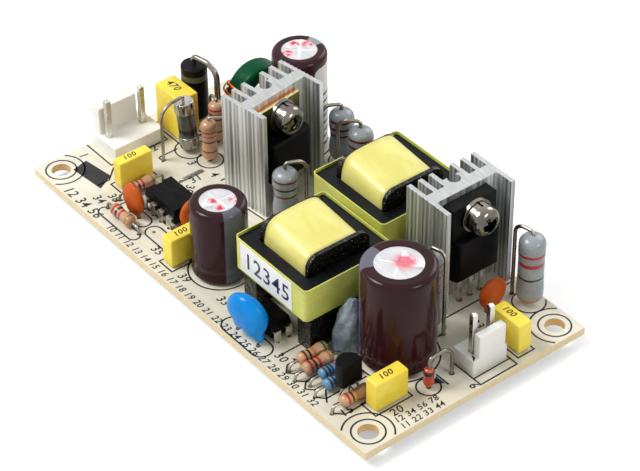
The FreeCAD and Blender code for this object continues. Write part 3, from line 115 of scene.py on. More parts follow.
class Finish(Graph):
    """One material under way: its node tree, its shader and its Object coordinates."""

    def __init__(self, name, **sockets):
        self.material = bpy.data.materials.new(name)
        self.material.use_nodes = True
        super().__init__(self.material.node_tree)
        self.shader = self.tree.nodes["Principled BSDF"]
        self.to(**sockets)
        self.object = self.node("ShaderNodeTexCoord").outputs["Object"]

    def to(self, **sockets):
        """Feeds the shader's own sockets."""
        for socket, value in sockets.items():
            self.feed(self.shader.inputs[socket.replace("_", " ")], value)

    def mapped(self, scale=(1, 1, 1), location=(0, 0, 0), turn=(0, 0, 0)):
        """Object coordinates moved, turned and stretched."""
        made = self.node("ShaderNodeMapping")
        for socket, value in zip(made.inputs, (self.object, location, turn, scale)):
            self.feed(socket, value)
        return made.outputs[0]

    def noise(self, scale, detail, vector=None, distortion=0.0):
        """Cloudy noise from 0 to 1."""
        made = self.node("ShaderNodeTexNoise")
        self.feed(made.inputs["Vector"], vector or self.object)
        for socket, value in (("Scale", scale), ("Detail", detail), ("Distortion", distortion)):
            self.feed(made.inputs[socket], value)
        return made.outputs["Fac"]

    def spread(self, value, low, high, start=0.0, end=1.0):
        """Moves a value from one range to another and holds it there."""
        made = self.node("ShaderNodeMapRange", interpolation_type="SMOOTHSTEP")
        for socket, number in zip(made.inputs, (value, low, high, start, end)):
            self.feed(socket, number)
        return made.outputs[0]

    def fall(self, value, low, high):
        """One below the first limit, nothing above the second and smooth between them."""
        return self.spread(value, low, high, 1.0, 0.0)

    def band(self, value, start, full, fade, end):
        """One between the two middle limits and nothing outside the outer two."""
        return self.times(self.spread(value, start, full), self.fall(value, fade, end))

    def blend(self, share, first, second, how="MIX"):
        """A colour between two by a share."""
        made = self.node("ShaderNodeMix", data_type="RGBA", blend_type=how)
        for socket, value in zip((0, 6, 7), (share, first, second)):
            self.feed(made.inputs[socket], value)
        return made.outputs[2]

    def tones(self, cloud, dark, light):
        """A colour between two by the middle part of a noise, where nearly all of it lies."""
        return self.blend(self.spread(cloud, 0.3, 0.7), dark, light)

    def gloss(self, cloud, low, high):
        """Roughness between two by the middle part of a noise."""
        self.to(Roughness=self.spread(cloud, 0.3, 0.7, low, high))

    def axis(self, which, vector=None):
        """One coordinate of a vector, by default of the place on the object."""
        made = self.node("ShaderNodeSeparateXYZ")
        self.feed(made.inputs[0], vector or self.object)
        return made.outputs[which]

    def facing(self, low, high):
        """How far the surface's own normal points up, spread between two limits."""
        normal = self.node("ShaderNodeNewGeometry").outputs["Normal"]
        return self.spread(self.axis(2, normal), low, high)

    def bump(self, height, distance, strength):
        """Turns a height into a bent normal and gives it to the shader."""
        made = self.node("ShaderNodeBump")
        for socket, value in (("Height", height), ("Distance", distance), ("Strength", strength)):
            self.feed(made.inputs[socket], value)
        self.to(Normal=made.outputs[0])


print("kit:", ", ".join(name for name in vars(Finish) if name[0] != "_"))

# %% [markdown]
# Handling leaves the same two marks on every plastic and painted part: a very fine mottle in the
# gloss and a faint cloudiness in the tone. A node group holds both, so that all finishes share
# them and differ only in scale.

# %% Shared mottle group
def mottle_group():
    """Group with a Vector and a Size going in, and a Tone and a Grain coming out."""
    group = bpy.data.node_groups.new("moulded_mottle", "ShaderNodeTree")
    for name, way, kind in (("Vector", "INPUT", "Vector"), ("Size", "INPUT", "Float"),
                            ("Tone", "OUTPUT", "Float"), ("Grain", "OUTPUT", "Float")):
        group.interface.new_socket(name, in_out=way, socket_type="NodeSocket" + kind)
    graph = Graph(group)
    entry = graph.node("NodeGroupInput").outputs
    leave = graph.node("NodeGroupOutput")
    for output, factor, detail in (("Tone", 0.12, 2.0), ("Grain", 1.0, 3.0)):
        cloud = graph.node("ShaderNodeTexNoise")
        graph.feed(cloud.inputs["Vector"], entry["Vector"])
        graph.feed(cloud.inputs["Scale"], graph.times(entry["Size"], factor))
        graph.feed(cloud.inputs["Detail"], detail)
        graph.feed(leave.inputs[output], cloud.outputs["Fac"])
    return group


MOTTLE = mottle_group()


def mottled(finish, size):
    """Tone and Grain of the shared group at that scale."""
    made = finish.node("ShaderNodeGroup")
    made.node_tree = MOTTLE
    finish.feed(made.inputs["Vector"], finish.object)
    made.inputs["Size"].default_value = size
    return made.outputs["Tone"], made.outputs["Grain"]


def moulded(name, dark, light, rough, size, depth=0.00001, **sockets):
    """A plastic or painted finish: two close tones, a rough range and a fine bump."""
    finish = Finish(name, **sockets)
    tone, grain = mottled(finish, size)
    finish.to(Base_Color=finish.tones(tone, dark, light))
    finish.gloss(grain, *rough)
    finish.bump(grain, depth, 0.5)
    return finish


def metal(name, dark, light, rough, size, depth=0.000004):
    """A bare or plated metal with cloudy gloss."""
    return moulded(name, dark, light, rough, size, depth, Metallic=1.0)


def dress(finish, *names):
    """Puts a finish on CAD nodes, in every slot they have."""
    for name in names:
        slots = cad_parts[name].material_slots
        if not slots:
            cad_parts[name].data.materials.append(finish.material)
        for slot in slots:
            slot.link = "OBJECT"
            slot.material = finish.material


print("mottle group:", [node.name for node in MOTTLE.nodes])

# %% [markdown]
# ## Camera
# The photo is taken with a long lens from the front right corner, looking down. The board's
# four corners and holes fix the camera's place, its turn and its lens, so all are written here as
# found; a slight roll belongs to them.

# %% Camera
PHOTO_WIDTH, FOCAL_PIXELS, SENSOR = 640, 2311.9, 36.0


def make_camera():
    """Camera with the focal length in pixels turned to millimetres on the sensor."""
    data = bpy.data.cameras.new("camera")
    data.sensor_width = SENSOR
    data.lens = FOCAL_PIXELS / PHOTO_WIDTH * SENSOR
    data.shift_x = 0.0003
    data.shift_y = 0.0045
    data.clip_start = 0.01
    camera = bpy.data.objects.new("camera", data)
    camera.location = (0.26473, -0.20254, 0.27810)
    camera.rotation_euler = [math.radians(turn) for turn in (50.6639, 0.5040, 51.4519)]
    bpy.context.scene.collection.objects.link(camera)
    bpy.context.scene.camera = camera
    return camera


camera = make_camera()
print("lens", round(camera.data.lens, 1), "mm")

# %% [markdown]
# ## Room
# A plain pale floor, a large soft lamp over the left shoulder of the board, a weaker one from the
# right and a strip behind give the broad highlights on the metal. The world is white to the
# camera and to reflections, and dimmer as a light, so colours render about as they are written.

# %% Floor, lamps and world
FLOOR_HALF = 3.0
FLOOR_GLOW = 0.42
WORLD_LIGHT = 0.34
AIM = Vector((0, 0, 0.01))


def make_floor():
    """Large square under the clipped leads: diffuse, plus a glow that only the camera sees."""
    mesh = bpy.data.meshes.new("floor")
    mesh.from_pydata([(x * FLOOR_HALF, y * FLOOR_HALF, 0)
                      for x, y in ((-1, -1), (1, -1), (1, 1), (-1, 1))], [], [(0, 1, 2, 3)])
    floor = bpy.data.objects.new("floor", mesh)
    bpy.context.scene.collection.objects.link(floor)
    material = bpy.data.materials.new("floor_paper")
    material.use_nodes = True
    graph = Graph(material.node_tree)
    graph.tree.nodes.clear()
    diffuse = graph.node("ShaderNodeBsdfDiffuse")
    graph.feed(diffuse.inputs["Color"], paint(236, 236, 236))
    glow = graph.node("ShaderNodeEmission")
    seen = graph.node("ShaderNodeLightPath").outputs["Is Camera Ray"]
    graph.feed(glow.inputs["Strength"], graph.times(seen, FLOOR_GLOW))
    both = graph.node("ShaderNodeAddShader")
    for socket, shader in zip(both.inputs, (diffuse, glow)):
        graph.feed(socket, shader.outputs[0])
    graph.feed(graph.node("ShaderNodeOutputMaterial").inputs["Surface"], both.outputs[0])
    mesh.materials.append(material)


def make_lamp(name, place, wide, watts):
    """Square area lamp turned towards the board's middle."""
    data = bpy.data.lights.new(name, "AREA")
    data.shape = "SQUARE"
    data.size = wide
    data.energy = watts
    lamp = bpy.data.objects.new(name, data)
    lamp.location = place
    lamp.rotation_euler = (AIM - Vector(place)).to_track_quat("-Z", "Y").to_euler()
    bpy.context.scene.collection.objects.link(lamp)


def make_world():
    """White where a camera, glossy or transmission ray looks, and dimmer as a light."""
    world = bpy.data.worlds.new("studio")
    bpy.context.scene.world = world
    world.use_nodes = True
    graph = Graph(world.node_tree)
    background = graph.tree.nodes["Background"]
    graph.feed(background.inputs["Color"], (1, 1, 1, 1))
    rays = graph.node("ShaderNodeLightPath").outputs
    seen = graph.math("MAXIMUM", rays["Is Camera Ray"], rays["Is Glossy Ray"])
    seen = graph.math("MAXIMUM", seen, rays["Is Transmission Ray"])
    level = graph.math("MULTIPLY_ADD", seen, 1 - WORLD_LIGHT, WORLD_LIGHT)
    graph.feed(background.inputs["Strength"], level)


make_floor()
make_lamp("key", (-0.35, -0.45, 0.75), 0.4, 7.5)
make_lamp("fill", (0.75, 0.15, 0.45), 0.3, 1.8)
make_lamp("back", (-0.1, 0.75, 0.5), 0.5, 2.6)
make_world()
bpy.context.scene.view_settings.view_transform = "Standard"
print("lamps:", len(bpy.data.lights), "world light:", WORLD_LIGHT)

# %% [markdown]
# ## Board
# The board is a paper and glass laminate. Its top is coated ivory, with faint streaks across it
# where the screen dragged, and its sawn edges and drilled holes show the tan laminate. One
# material tells the faces apart by their normals, so the CAD mesh needs no cutting up.

# %% Board material
HOLE_X, HOLE_Y = 46.99, 21.59
HOLE_WALL, HOLE_REACH = 2.2, 2.6


def board_finish():
    """Ivory above, tan at the edges, browner in the corner holes, green solder coat below."""
    finish = Finish("board_laminate", Specular_IOR_Level=0.5)
    fine = finish.noise(900, 4, finish.mapped((0.15, 1.0, 1.0)))
    broad = finish.noise(60, 3)
    ivory = finish.tones(fine, paint(226, 221, 203), paint(235, 231, 215))
    ivory = finish.blend(finish.spread(broad, 0.35, 0.75), ivory, paint(220, 213, 191))
    weave = finish.noise(2500, 2)
    tan = finish.blend(weave, paint(216, 190, 140), paint(246, 228, 188))
    across, along = (finish.math("SUBTRACT", finish.math("ABSOLUTE", finish.axis(which)), hole * MM)
                     for which, hole in enumerate((HOLE_X, HOLE_Y)))
    near = finish.fall(finish.slanted(across, along), HOLE_WALL * MM, HOLE_REACH * MM)
    tan = finish.blend(near, tan, paint(234, 200, 146))
    under = finish.tones(broad, paint(70, 92, 52), paint(86, 108, 62))
    colour = finish.blend(finish.facing(0.3, 0.5), tan, ivory)
    colour = finish.blend(finish.facing(-0.3, -0.5), colour, under)
    finish.to(Base_Color=colour, Roughness=finish.spread(fine, 0.2, 0.8, 0.34, 0.5))
    finish.bump(finish.noise(1400, 3), 0.00002, 0.4)
    return finish


dress(board_finish(), "circuit_board")
print("corner holes at", HOLE_X, "and", HOLE_Y, "mm from the middle")

# %% [markdown]
# ## Softened copies of the solids
# A CAD solid arrives as loose flat triangles with perfectly sharp edges. Nothing moulded, stamped
# or drawn looks like that: every edge catches a line of light. So a copy of the mesh is joined up,
# flat areas become single faces again, round areas are shaded smooth, and a small bevel takes the
# edge off. The copy stands for the solid in the picture and the solid itself stays untouched.

# %% Piece kit
JOIN_GAP = 3e-6
FLAT_ANGLE = math.radians(0.6)
BEVEL_STEPS = 3


def piece(name, mesh, finish, *replaced, slot=None):
    """Object of a mesh that rides on the supply, in its finish, standing for CAD nodes."""
    made = bpy.data.objects.new(name, mesh)
    mesh.materials.clear()
    mesh.materials.append(finish.material)
    bpy.context.scene.collection.objects.link(made)
    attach(made, "root")
    if replaced:
        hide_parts(*replaced)
    return made


def joined(node):
    """Copy of a CAD node's mesh with its loose triangles merged and its flat areas made whole."""
    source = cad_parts[node]
    mesh = source.data.copy()
    work = bmesh.new()
    work.from_mesh(mesh)
    bmesh.ops.transform(work, matrix=source.matrix_world, verts=work.verts)
    bmesh.ops.remove_doubles(work, verts=work.verts, dist=JOIN_GAP)
    bmesh.ops.dissolve_limit(work, angle_limit=FLAT_ANGLE, verts=work.verts, edges=work.edges)
    work.to_mesh(mesh)
    work.free()
    return mesh


def softened(finish, *nodes, edge=0.0, limit=38):
    """Dresses CAD nodes by their joined copies: smooth under an angle limit in degrees, and with
    edges over it rounded by that many millimetres. Prints what it made."""
    for node in nodes:
        mesh = joined(node)
        mesh.polygons.foreach_set("use_smooth", np.ones(len(mesh.polygons), dtype=bool))
        mesh.set_sharp_from_angle(angle=math.radians(limit))
        made = piece("soft_" + node, mesh, finish, node)
        if edge:
            bevel = made.modifiers.new("edge", "BEVEL")
            bevel.width = edge * MM
            bevel.segments = BEVEL_STEPS
            bevel.limit_method = "ANGLE"
            bevel.angle_limit = math.radians(limit)
            bevel.harden_normals = True
        print("softened", node, "faces:", len(mesh.polygons))


def above_board(points):
    """Places in millimetres over the board's top, turned to metres in the frame."""
    return np.asarray(points, dtype=float) * MM + np.array([0, 0, BOARD_TOP])


def corners_of(mesh):
    """Places of a mesh's corners, one in each row."""
    flat = np.empty(len(mesh.vertices) * 3)
    mesh.vertices.foreach_get("co", flat)
    return flat.reshape(-1, 3)


print("board's top is at", above_board([0, 0, 0]).tolist())

# %% [markdown]
# ## Heatsinks
# The sinks are cut from one extruded profile. Its outer faces carry fine ribs from the die, so
# light breaks into upright bands; the cut ends are plain and paler. The bands are a bump of two
# kinds: a regular rib, which is a sine of the place across the sink, and irregular scratches, which
# are noise stretched along Z. The same pattern is also painted into the sides' colour as pale and
# dark upright bands: painted sheen and shade of the ribs, together with the metal's own streaks.
# The left sink is turned a little, so its ribs are turned with it.

# %% Heatsinks
RIB_PITCH = 1.02
LEFT_TURN = 8


def extruded_aluminium(name, turn):
    """Ribs and scratches along the extrusion on its sides, in the bump and as painted sheen and
    shade in the colour, saw marks on its cut ends.
    """
    finish = Finish(name, Metallic=0.8)
    across = finish.axis(0, finish.mapped(turn=(0, 0, -math.radians(turn))))
    rib = finish.math("SINE", finish.times(across, 2 * math.pi / (RIB_PITCH * MM)))
    rib = finish.math("MULTIPLY_ADD", rib, 0.5, 0.5)
    streaks = finish.noise(1.0, 3, finish.mapped((2600, 2600, 26)))
    bands = finish.noise(1.0, 0, finish.mapped((1150, 1150, 6)))
    saw = finish.noise(1.0, 2, finish.mapped((300, 2600, 300), turn=(0, 0, 0.5)))
    up = finish.facing(0.5, 0.8)
    both = finish.math("MULTIPLY_ADD", streaks, 0.5, finish.times(bands, 0.5))
    both = finish.math("MULTIPLY_ADD", rib, 0.2, finish.times(both, 0.8))
    # The sides' pale and dark bands are painted sheen and shade of the ribs, with the metal's own
    # streaks.
    side = finish.blend(finish.spread(both, 0.34, 0.62), paint(152, 155, 157), paint(228, 231, 232))
    end = finish.blend(finish.spread(saw, 0.35, 0.65), paint(182, 184, 184), paint(198, 199, 198))
    finish.to(Base_Color=finish.blend(up, side, end))
    rough = finish.math("MULTIPLY_ADD", up, 0.1, finish.spread(bands, 0.3, 0.7, 0.3, 0.46))
    finish.to(Roughness=rough)
    depth = finish.times(both, finish.spread(up, 0.0, 1.0, 1.0, 0.1))
    finish.bump(depth, 0.0003, 0.5)
    return finish


for side, turn in (("left", LEFT_TURN), ("right", 0)):
    softened(extruded_aluminium("ribbed_aluminium_" + side, turn), "heatsink_" + side, edge=0.06)

# %% [markdown]
# ## Packages, screws and washers
# Screws are plated with bright nickel and nearly mirror the room, so they get little roughness; the
# washers are duller zinc. Epoxy packages are black with a fine grain. The metal tab of the left one
# is tinned copper on an insulating pad, and its layers show on the top edge as lines. They are
# split by the depth across the turned sink, since no solid divides them.

# %% Packages, screws and washers on the heatsinks
TAB_SHIFT = 0.015197
TAB_SPLIT = (0.00198, 0.00212)
CHROME = metal("bright_plate", paint(102, 98, 92), paint(152, 147, 139), (0.06, 0.14), 900, 0.00002)
ZINC = metal("zinc_plate", paint(110, 106, 100), paint(156, 152, 144), (0.12, 0.24), 900, 0.000001)
softened(CHROME, "heatsink_screws", edge=0.08, limit=30)
softened(ZINC, "spring_washers", "flat_washers", edge=0.05)


def layered_tab():
    """Tab on its pad: an olive front, and on the top edge a brown line behind a pale gold one. The
    line between the two lies at a fixed depth across the turned sink."""
    finish = Finish("gilded_tab", Metallic=1.0)
    tone, grain = mottled(finish, 700)
    level = finish.mapped(turn=(0, 0, -math.radians(LEFT_TURN)), location=(TAB_SHIFT, 0, 0))
    split = finish.spread(finish.axis(0, level), *TAB_SPLIT)
    up = finish.facing(0.5, 0.7)
    front = finish.tones(tone, paint(92, 84, 50), paint(124, 112, 70))
    top = finish.blend(split, paint(186, 112, 62), paint(228, 214, 160))
    finish.to(Base_Color=finish.blend(up, front, top))
    finish.gloss(grain, 0.14, 0.26)
    finish.bump(grain, 0.000001, 0.4)
    return finish


softened(layered_tab(), "transistor_tab", edge=0.12)
BLACK = moulded("black_moulding", paint(4, 4, 5), paint(12, 12, 13), (0.34, 0.5), 5000, 0.00002,
                Specular_IOR_Level=0.1)
softened(BLACK, "transistor_body", "output_rectifier_body", "small_transistor", edge=0.14)
softened(BLACK, "controller_chip", "optocoupler", edge=0.1)

# %% [markdown]
# ## Leads, pins and joints
# Leads are drawn wire dipped in tin, which greys and dulls soon. Pins of the headers are square
# wire with their tips pressed to a chamfer. All are smooth metal, so only the gloss wanders.

# %% Leads, pins and joints
WIRE = metal("dull_tin", paint(128, 122, 112), paint(180, 174, 162), (0.2, 0.36), 700, 0.000002)
softened(WIRE, "component_leads", "diode_leads", limit=60)
TIN = metal("bright_tin", paint(184, 180, 170), paint(228, 225, 217), (0.2, 0.36), 900, 0.000003)
softened(TIN, "chip_pins", "package_legs", "heatsink_pins", edge=0.05)
softened(TIN, "main_transformer_pins", "second_transformer_pins", edge=0.04, limit=50)
softened(TIN, "input_pins", "output_pins", edge=0.16)
SOLDER = metal("solder", paint(164, 164, 162), paint(222, 222, 218), (0.1, 0.26), 1400, 0.00002)
softened(SOLDER, "solder_joints", limit=60)

# %% [markdown]
# ## Transformers
# Each transformer is a black ferrite frame round a phenolic bobbin. Polyester tape goes round the
# winding in many turns, which leaves soft waves across it and a thin step where it ends, and one
# band goes round the outside of the core. The whole is dipped in varnish, so the black parts
# glisten in spots, and on the bobbins pale specks are painted on as glints. Waves and varnish are
# broad bumps; the dark of the ferrite is its own colour.

# %% Transformers
FERRITE = moulded("ferrite", paint(8, 11, 11), paint(20, 24, 25), (0.26, 0.5), 1400, 0.00008,
                  Specular_IOR_Level=0.14)
softened(FERRITE, "main_transformer_core", "second_transformer_core", edge=0.12)


def varnished_bobbin():
    """Black phenolic under uneven varnish: fine runs over broad lumps, and pale specks that are
    painted glints.
    """
    finish = Finish("bobbin_phenolic", Specular_IOR_Level=0.3)
    lumps = finish.noise(420, 3)
    runs = finish.noise(1500, 2, distortion=0.6)
    # Pale specks painted into the colour: painted glints on the varnish.
    painted_glints = finish.spread(finish.noise(2600, 1), 0.74, 0.79)
    black = finish.blend(lumps, paint(4, 4, 5), paint(13, 13, 14))
    finish.to(Base_Color=finish.blend(painted_glints, black, paint(186, 192, 190)))
    finish.gloss(runs, 0.06, 0.24)
    height = finish.math("MULTIPLY_ADD", runs, 0.4, lumps)
    finish.bump(height, 0.0009, 0.7)
    return finish


softened(varnished_bobbin(), "main_transformer_bobbin", "second_transformer_bobbin", edge=0.16)


def tape_finish(name, dark, light, wave, step, gloss):
    """Tape: broad waves across the turns, and creases along them."""
    finish = Finish(name, Coat_Weight=0.2, Coat_Roughness=0.2, Specular_IOR_Level=0.4)
    broad = finish.noise(wave, 3, finish.mapped((0.7, 1.4, 1.4)), distortion=0.4)
    crease = finish.noise(1.0, 3, finish.mapped(step))
    stain = finish.noise(1300, 2)
    colour = finish.tones(broad, dark, light)
    spots = finish.spread(stain, 0.73, 0.8, 0.0, 0.7)
    finish.to(Base_Color=finish.blend(spots, colour, paint(130, 118, 48)))
    finish.gloss(crease, *gloss)
    finish.bump(finish.math("MULTIPLY_ADD", crease, 0.16, broad), 0.0002, 0.1)
    return finish


WINDING_TAPE = tape_finish("winding_tape", paint(222, 212, 116), paint(234, 226, 138), 190,
                           (180, 900, 900), (0.34, 0.5))
CORE_TAPE = tape_finish("core_tape", paint(192, 194, 84), paint(216, 217, 112), 120,
                        (120, 120, 1300), (0.26, 0.42))
softened(CORE_TAPE, "main_transformer_tape", "second_transformer_tape", limit=50)
LABEL = moulded("bare_label", paint(232, 232, 228), paint(246, 246, 244), (0.4, 0.55), 900)
softened(LABEL, "transformer_label", edge=0.03)

# %% [markdown]
# ## Electrolytic cans
# A drawn aluminium can sits in a shrunk sleeve of brown film. The sleeve wraps over the rim and
# leaves a round mouth with the vent cross. A stripe printed down one side marks the minus lead,
# and a stamp leaves a dab of red ink on the bare top. The stripe is a mask in the plan: the part
# of the sleeve whose direction from the can's own axis is near the stripe's direction.

# %% Cans and sleeves
PANEL_CORNER, LINE_PITCH, LINES_TOP = 1.3, 1.7, 14.0
ROLL, VENT_LOW, VENT_HIGH = 0.15, 0.09, 0.04


def off_turn(finish, x, y, turn):
    """Angle in the plan between a place's direction from the axis at x, y and a turn: the arc
    cosine of the product of the two directions."""
    level = finish.mapped(location=(-x * MM, -y * MM, 0), scale=(1, 1, 0))
    flat = finish.node("ShaderNodeVectorMath", operation="NORMALIZE")
    finish.feed(flat.inputs[0], level)
    dot = finish.node("ShaderNodeVectorMath", operation="DOT_PRODUCT")
    finish.feed(dot.inputs[0], flat.outputs[0])
    finish.feed(dot.inputs[1], (math.cos(turn), math.sin(turn), 0))
    return finish.math("ARCCOSINE", dot.outputs["Value"])


def sleeve(name, x, y, radius, stripe, panel):
    """Brown film. A grey stripe runs up the side and on over the rim, with short dark bars on the
    side where it has a pitch. A white panel with round corners, if any, ends below the rim."""
    finish = Finish(name, Specular_IOR_Level=0.2)
    tone, grain = mottled(finish, 500)
    colour = finish.tones(tone, paint(44, 16, 20), paint(58, 22, 27))
    turn, half, grey, pitch = stripe
    level = finish.axis(2)
    off = off_turn(finish, x, y, turn)
    printed = grey
    if pitch:
        wave = finish.math("FRACT", finish.times(level, 1 / (pitch * MM)))
        upright = finish.facing(0.5, 0.4)
        bar = finish.times(finish.math("LESS_THAN", wave, 0.4), upright)
        middle = finish.fall(off, half * 0.42, half * 0.42 + 0.02)
        printed = finish.blend(finish.times(bar, middle), grey, paint(34, 22, 28))
    colour = finish.blend(finish.fall(off, half - 0.015, half + 0.015), colour, printed)
    if panel:
        turn, half, top = panel
        bend = PANEL_CORNER / radius
        off = off_turn(finish, x, y, turn)
        past = finish.math("MAXIMUM", finish.math("SUBTRACT", off, half - bend), 0.0)
        above = finish.math("SUBTRACT", level, BOARD_TOP + (top - PANEL_CORNER) * MM)
        above = finish.math("MAXIMUM", finish.math("DIVIDE", above, radius * MM), 0.0)
        inside = finish.fall(finish.slanted(past, above), bend - 0.012, bend + 0.012)
        lines = finish.math("FRACT", finish.times(level, 1 / (LINE_PITCH * MM)))
        end = BOARD_TOP + LINES_TOP * MM
        lines = finish.times(finish.math("LESS_THAN", lines, 0.34),
                             finish.fall(level, end, end + 0.0001))
        lines = finish.times(lines, finish.fall(off, half * 0.5, half * 0.5 + 0.02))
        panel_tone = finish.blend(lines, paint(212, 211, 206), paint(40, 38, 40))
        colour = finish.blend(inside, colour, panel_tone)
    finish.to(Base_Color=colour)
    finish.gloss(grain, 0.1, 0.2)
    finish.bump(finish.noise(300, 2), 0.0001, 0.5)
    return finish


def can_top(name, x, y, height, dabs, reach, patch, ink_tone):
    """Brushed aluminium with a painted highlight, near white, on the floor of its vent grooves, and
    dabs of red ink. Each dab fades out with the distance from its own middle and is broken up by
    noise between two limits."""
    finish = Finish(name)
    brushed = finish.noise(1.0, 2, finish.mapped((300, 3000, 300), turn=(0, 0, 0.7)))
    tone = finish.tones(brushed, paint(208, 207, 210), paint(222, 221, 224))
    low = BOARD_TOP + (height - ROLL) * MM
    # The up-facing floor of the vent grooves is painted near white: a painted highlight.
    groove = finish.fall(finish.axis(2), low - VENT_LOW * MM, low - VENT_HIGH * MM)
    up = finish.facing(0.5, 0.9)
    tone = finish.blend(finish.times(groove, up), tone, paint(247, 247, 247))
    near = 0.0
    for turn, out in dabs:
        middle = (-(x + out * math.cos(turn)) * MM, -(y + out * math.sin(turn)) * MM, 0)
        far = finish.node("ShaderNodeVectorMath", operation="LENGTH")
        finish.feed(far.inputs[0], finish.mapped(location=middle, scale=(1, 1, 0)))
        one = finish.fall(far.outputs["Value"], reach * 0.35 * MM, reach * MM)
        near = finish.math("MAXIMUM", one, near)
    broken = finish.spread(finish.noise(620, 4, distortion=0.8), *patch)
    dab = finish.times(finish.times(near, broken), up)
    finish.to(Base_Color=finish.blend(dab, tone, ink_tone))
    finish.to(Metallic=finish.spread(dab, 0.0, 1.0, 0.7, 0.0))
    finish.to(Roughness=finish.spread(brushed, 0.2, 0.8, 0.4, 0.52))
    finish.bump(brushed, 0.000003, 0.4)
    return finish


print("vent grooves are", ROLL, "mm below the rolled rim")

# %% [markdown]
# ## Moulded cases and headers
# Film capacitors are boxes of yellow polyester with rounded edges, and the headers are milky
# nylon that lets some light in. Subsurface light, small bevels and a weak cloud in the tone keep
# them from looking like card.

# %% Cases and headers
DIODE_RING = (0.01325, 0.0134, 0.0145, 0.0147)
YELLOW = moulded("yellow_case", paint(242, 214, 58), paint(251, 227, 84), (0.3, 0.46), 1800,
                 0.00002, Subsurface_Weight=0.06, Subsurface_Scale=0.001)
softened(YELLOW, "input_film_capacitor", "left_film_capacitor", "front_film_capacitor",
         "output_film_capacitor", "right_film_capacitor", edge=0.22)
NYLON = moulded("white_nylon", paint(234, 233, 225), paint(246, 246, 241), (0.28, 0.42), 700,
                0.00002, Subsurface_Weight=0.2, Subsurface_Scale=0.002)
softened(NYLON, "input_header", "output_header", edge=0.3)


def diode_finish():
    """Black epoxy with the olive ring that marks the cathode end."""
    finish = Finish("diode_epoxy", Specular_IOR_Level=0.12)
    tone, grain = mottled(finish, 2600)
    black = finish.tones(tone, paint(8, 8, 9), paint(18, 18, 19))
    ring = finish.band(finish.axis(2), *DIODE_RING)
    finish.to(Base_Color=finish.blend(ring, black, paint(96, 98, 76)))
    finish.gloss(grain, 0.3, 0.46)
    finish.bump(grain, 0.00001, 0.4)
    return finish


softened(diode_finish(), "rectifier_diode", edge=0.2)

# %% [markdown]
# ## Choke
# A ferrite ring is coated with green epoxy, which flows a little before it sets, and wound with
# enamelled copper. The wire is a metal, and its varnish shows as a redder, glossier tone.

# %% Choke
GREEN = moulded("green_epoxy", paint(0, 60, 36), paint(0, 86, 50), (0.2, 0.34), 900, 0.00012,
                Specular_IOR_Level=0.1)
softened(GREEN, "choke_core", limit=60)
COPPER = metal("varnished_copper", paint(168, 64, 18), paint(218, 108, 46), (0.18, 0.32), 1500)
softened(COPPER, "choke_winding", limit=60)

# %% [markdown]
# ## Surfaces from arrays
# A turned part, such as a resistor or a ring, is a profile carried round a line. The profile is
# two arrays, the distance along the line and the radius there, and the surface is their product
# with a circle of angles. Its UV map runs round the part and along it, so that paint bands can
# follow the surface however the part lies.

# %% Turned surface
def circle(x, y, radius, angle):
    """Points round a middle: x plus the radius times the cosine, y plus it times the sine."""
    return np.stack([x + radius * np.cos(angle), y + radius * np.sin(angle)], axis=-1)


def grid_mesh(name, grid, uv=None, caps=True):
    """Mesh of a grid of points, rows by columns. Faces join each point to the next one in its row,
    the last to the first, and to the next row. Caps close the first and the last row."""
    rows, columns = grid.shape[:2]
    index = np.arange(rows * columns).reshape(rows, columns)
    right = np.roll(index, -1, axis=1)
    quads = np.stack([index[:-1], right[:-1], right[1:], index[1:]], axis=-1)
    faces = quads.reshape(-1, 4).tolist()
    if caps:
        faces += [index[0][::-1].tolist(), index[-1].tolist()]
    mesh = bpy.data.meshes.new(name)
    mesh.from_pydata(grid.reshape(-1, 3).tolist(), [], faces)
    if uv is not None:
        corners = np.empty(len(mesh.loops), dtype=np.int32)
        mesh.loops.foreach_get("vertex_index", corners)
        layer = mesh.uv_layers.new(name="along")
        layer.data.foreach_set("uv", uv.reshape(-1, 2)[corners].astype(np.float32).ravel())
    mesh.polygons.foreach_set("use_smooth", np.ones(len(mesh.polygons), dtype=bool))
    return mesh


def turned(name, along, radius, foot, axis, sides, caps=True):
    """Surface of revolution: foot plus along times the axis, plus radius times the cosine and the
    sine of the angle on two directions square to it. Along and radius are in millimetres, foot in
    metres. UV is the angle's share and along's share."""
    along, radius = along * MM, radius * MM
    axis = np.array(axis, dtype=float) / np.linalg.norm(axis)
    helper = np.array([1.0, 0, 0]) if abs(axis[0]) < 0.9 else np.array([0, 1.0, 0])
    first = np.cross(axis, helper)
    first /= np.linalg.norm(first)
    second = np.cross(axis, first)
    angle = np.linspace(0, 2 * np.pi, sides, endpoint=False)
    ring = np.cos(angle)[:, None] * first + np.sin(angle)[:, None] * second
    grid = np.array(foot) + along[:, None, None] * axis + radius[:, None, None] * ring
    share = (along - along[0]) / (along[-1] - along[0])
    uv = np.stack(np.meshgrid(angle / (2 * np.pi), share), axis=-1)
    return grid_mesh(name, grid, uv, caps)


print("a unit circle starts at", circle(0, 0, 1, np.zeros(1)).tolist())

# %% [markdown]
# ## Sleeves on their cans
# The three sleeves are turned surfaces: from the curled foot up over a shallow groove, straight to
# the rounded shoulder, in along the top and down into the round mouth.

# %% Cans and sleeves in place
SHOULDER = 1.1
MOUTH = 0.64
GROOVE_DEPTH, GROOVE_UP, GROOVE_WIDE = 0.14, 2.6, 0.7
CURL = 0.8


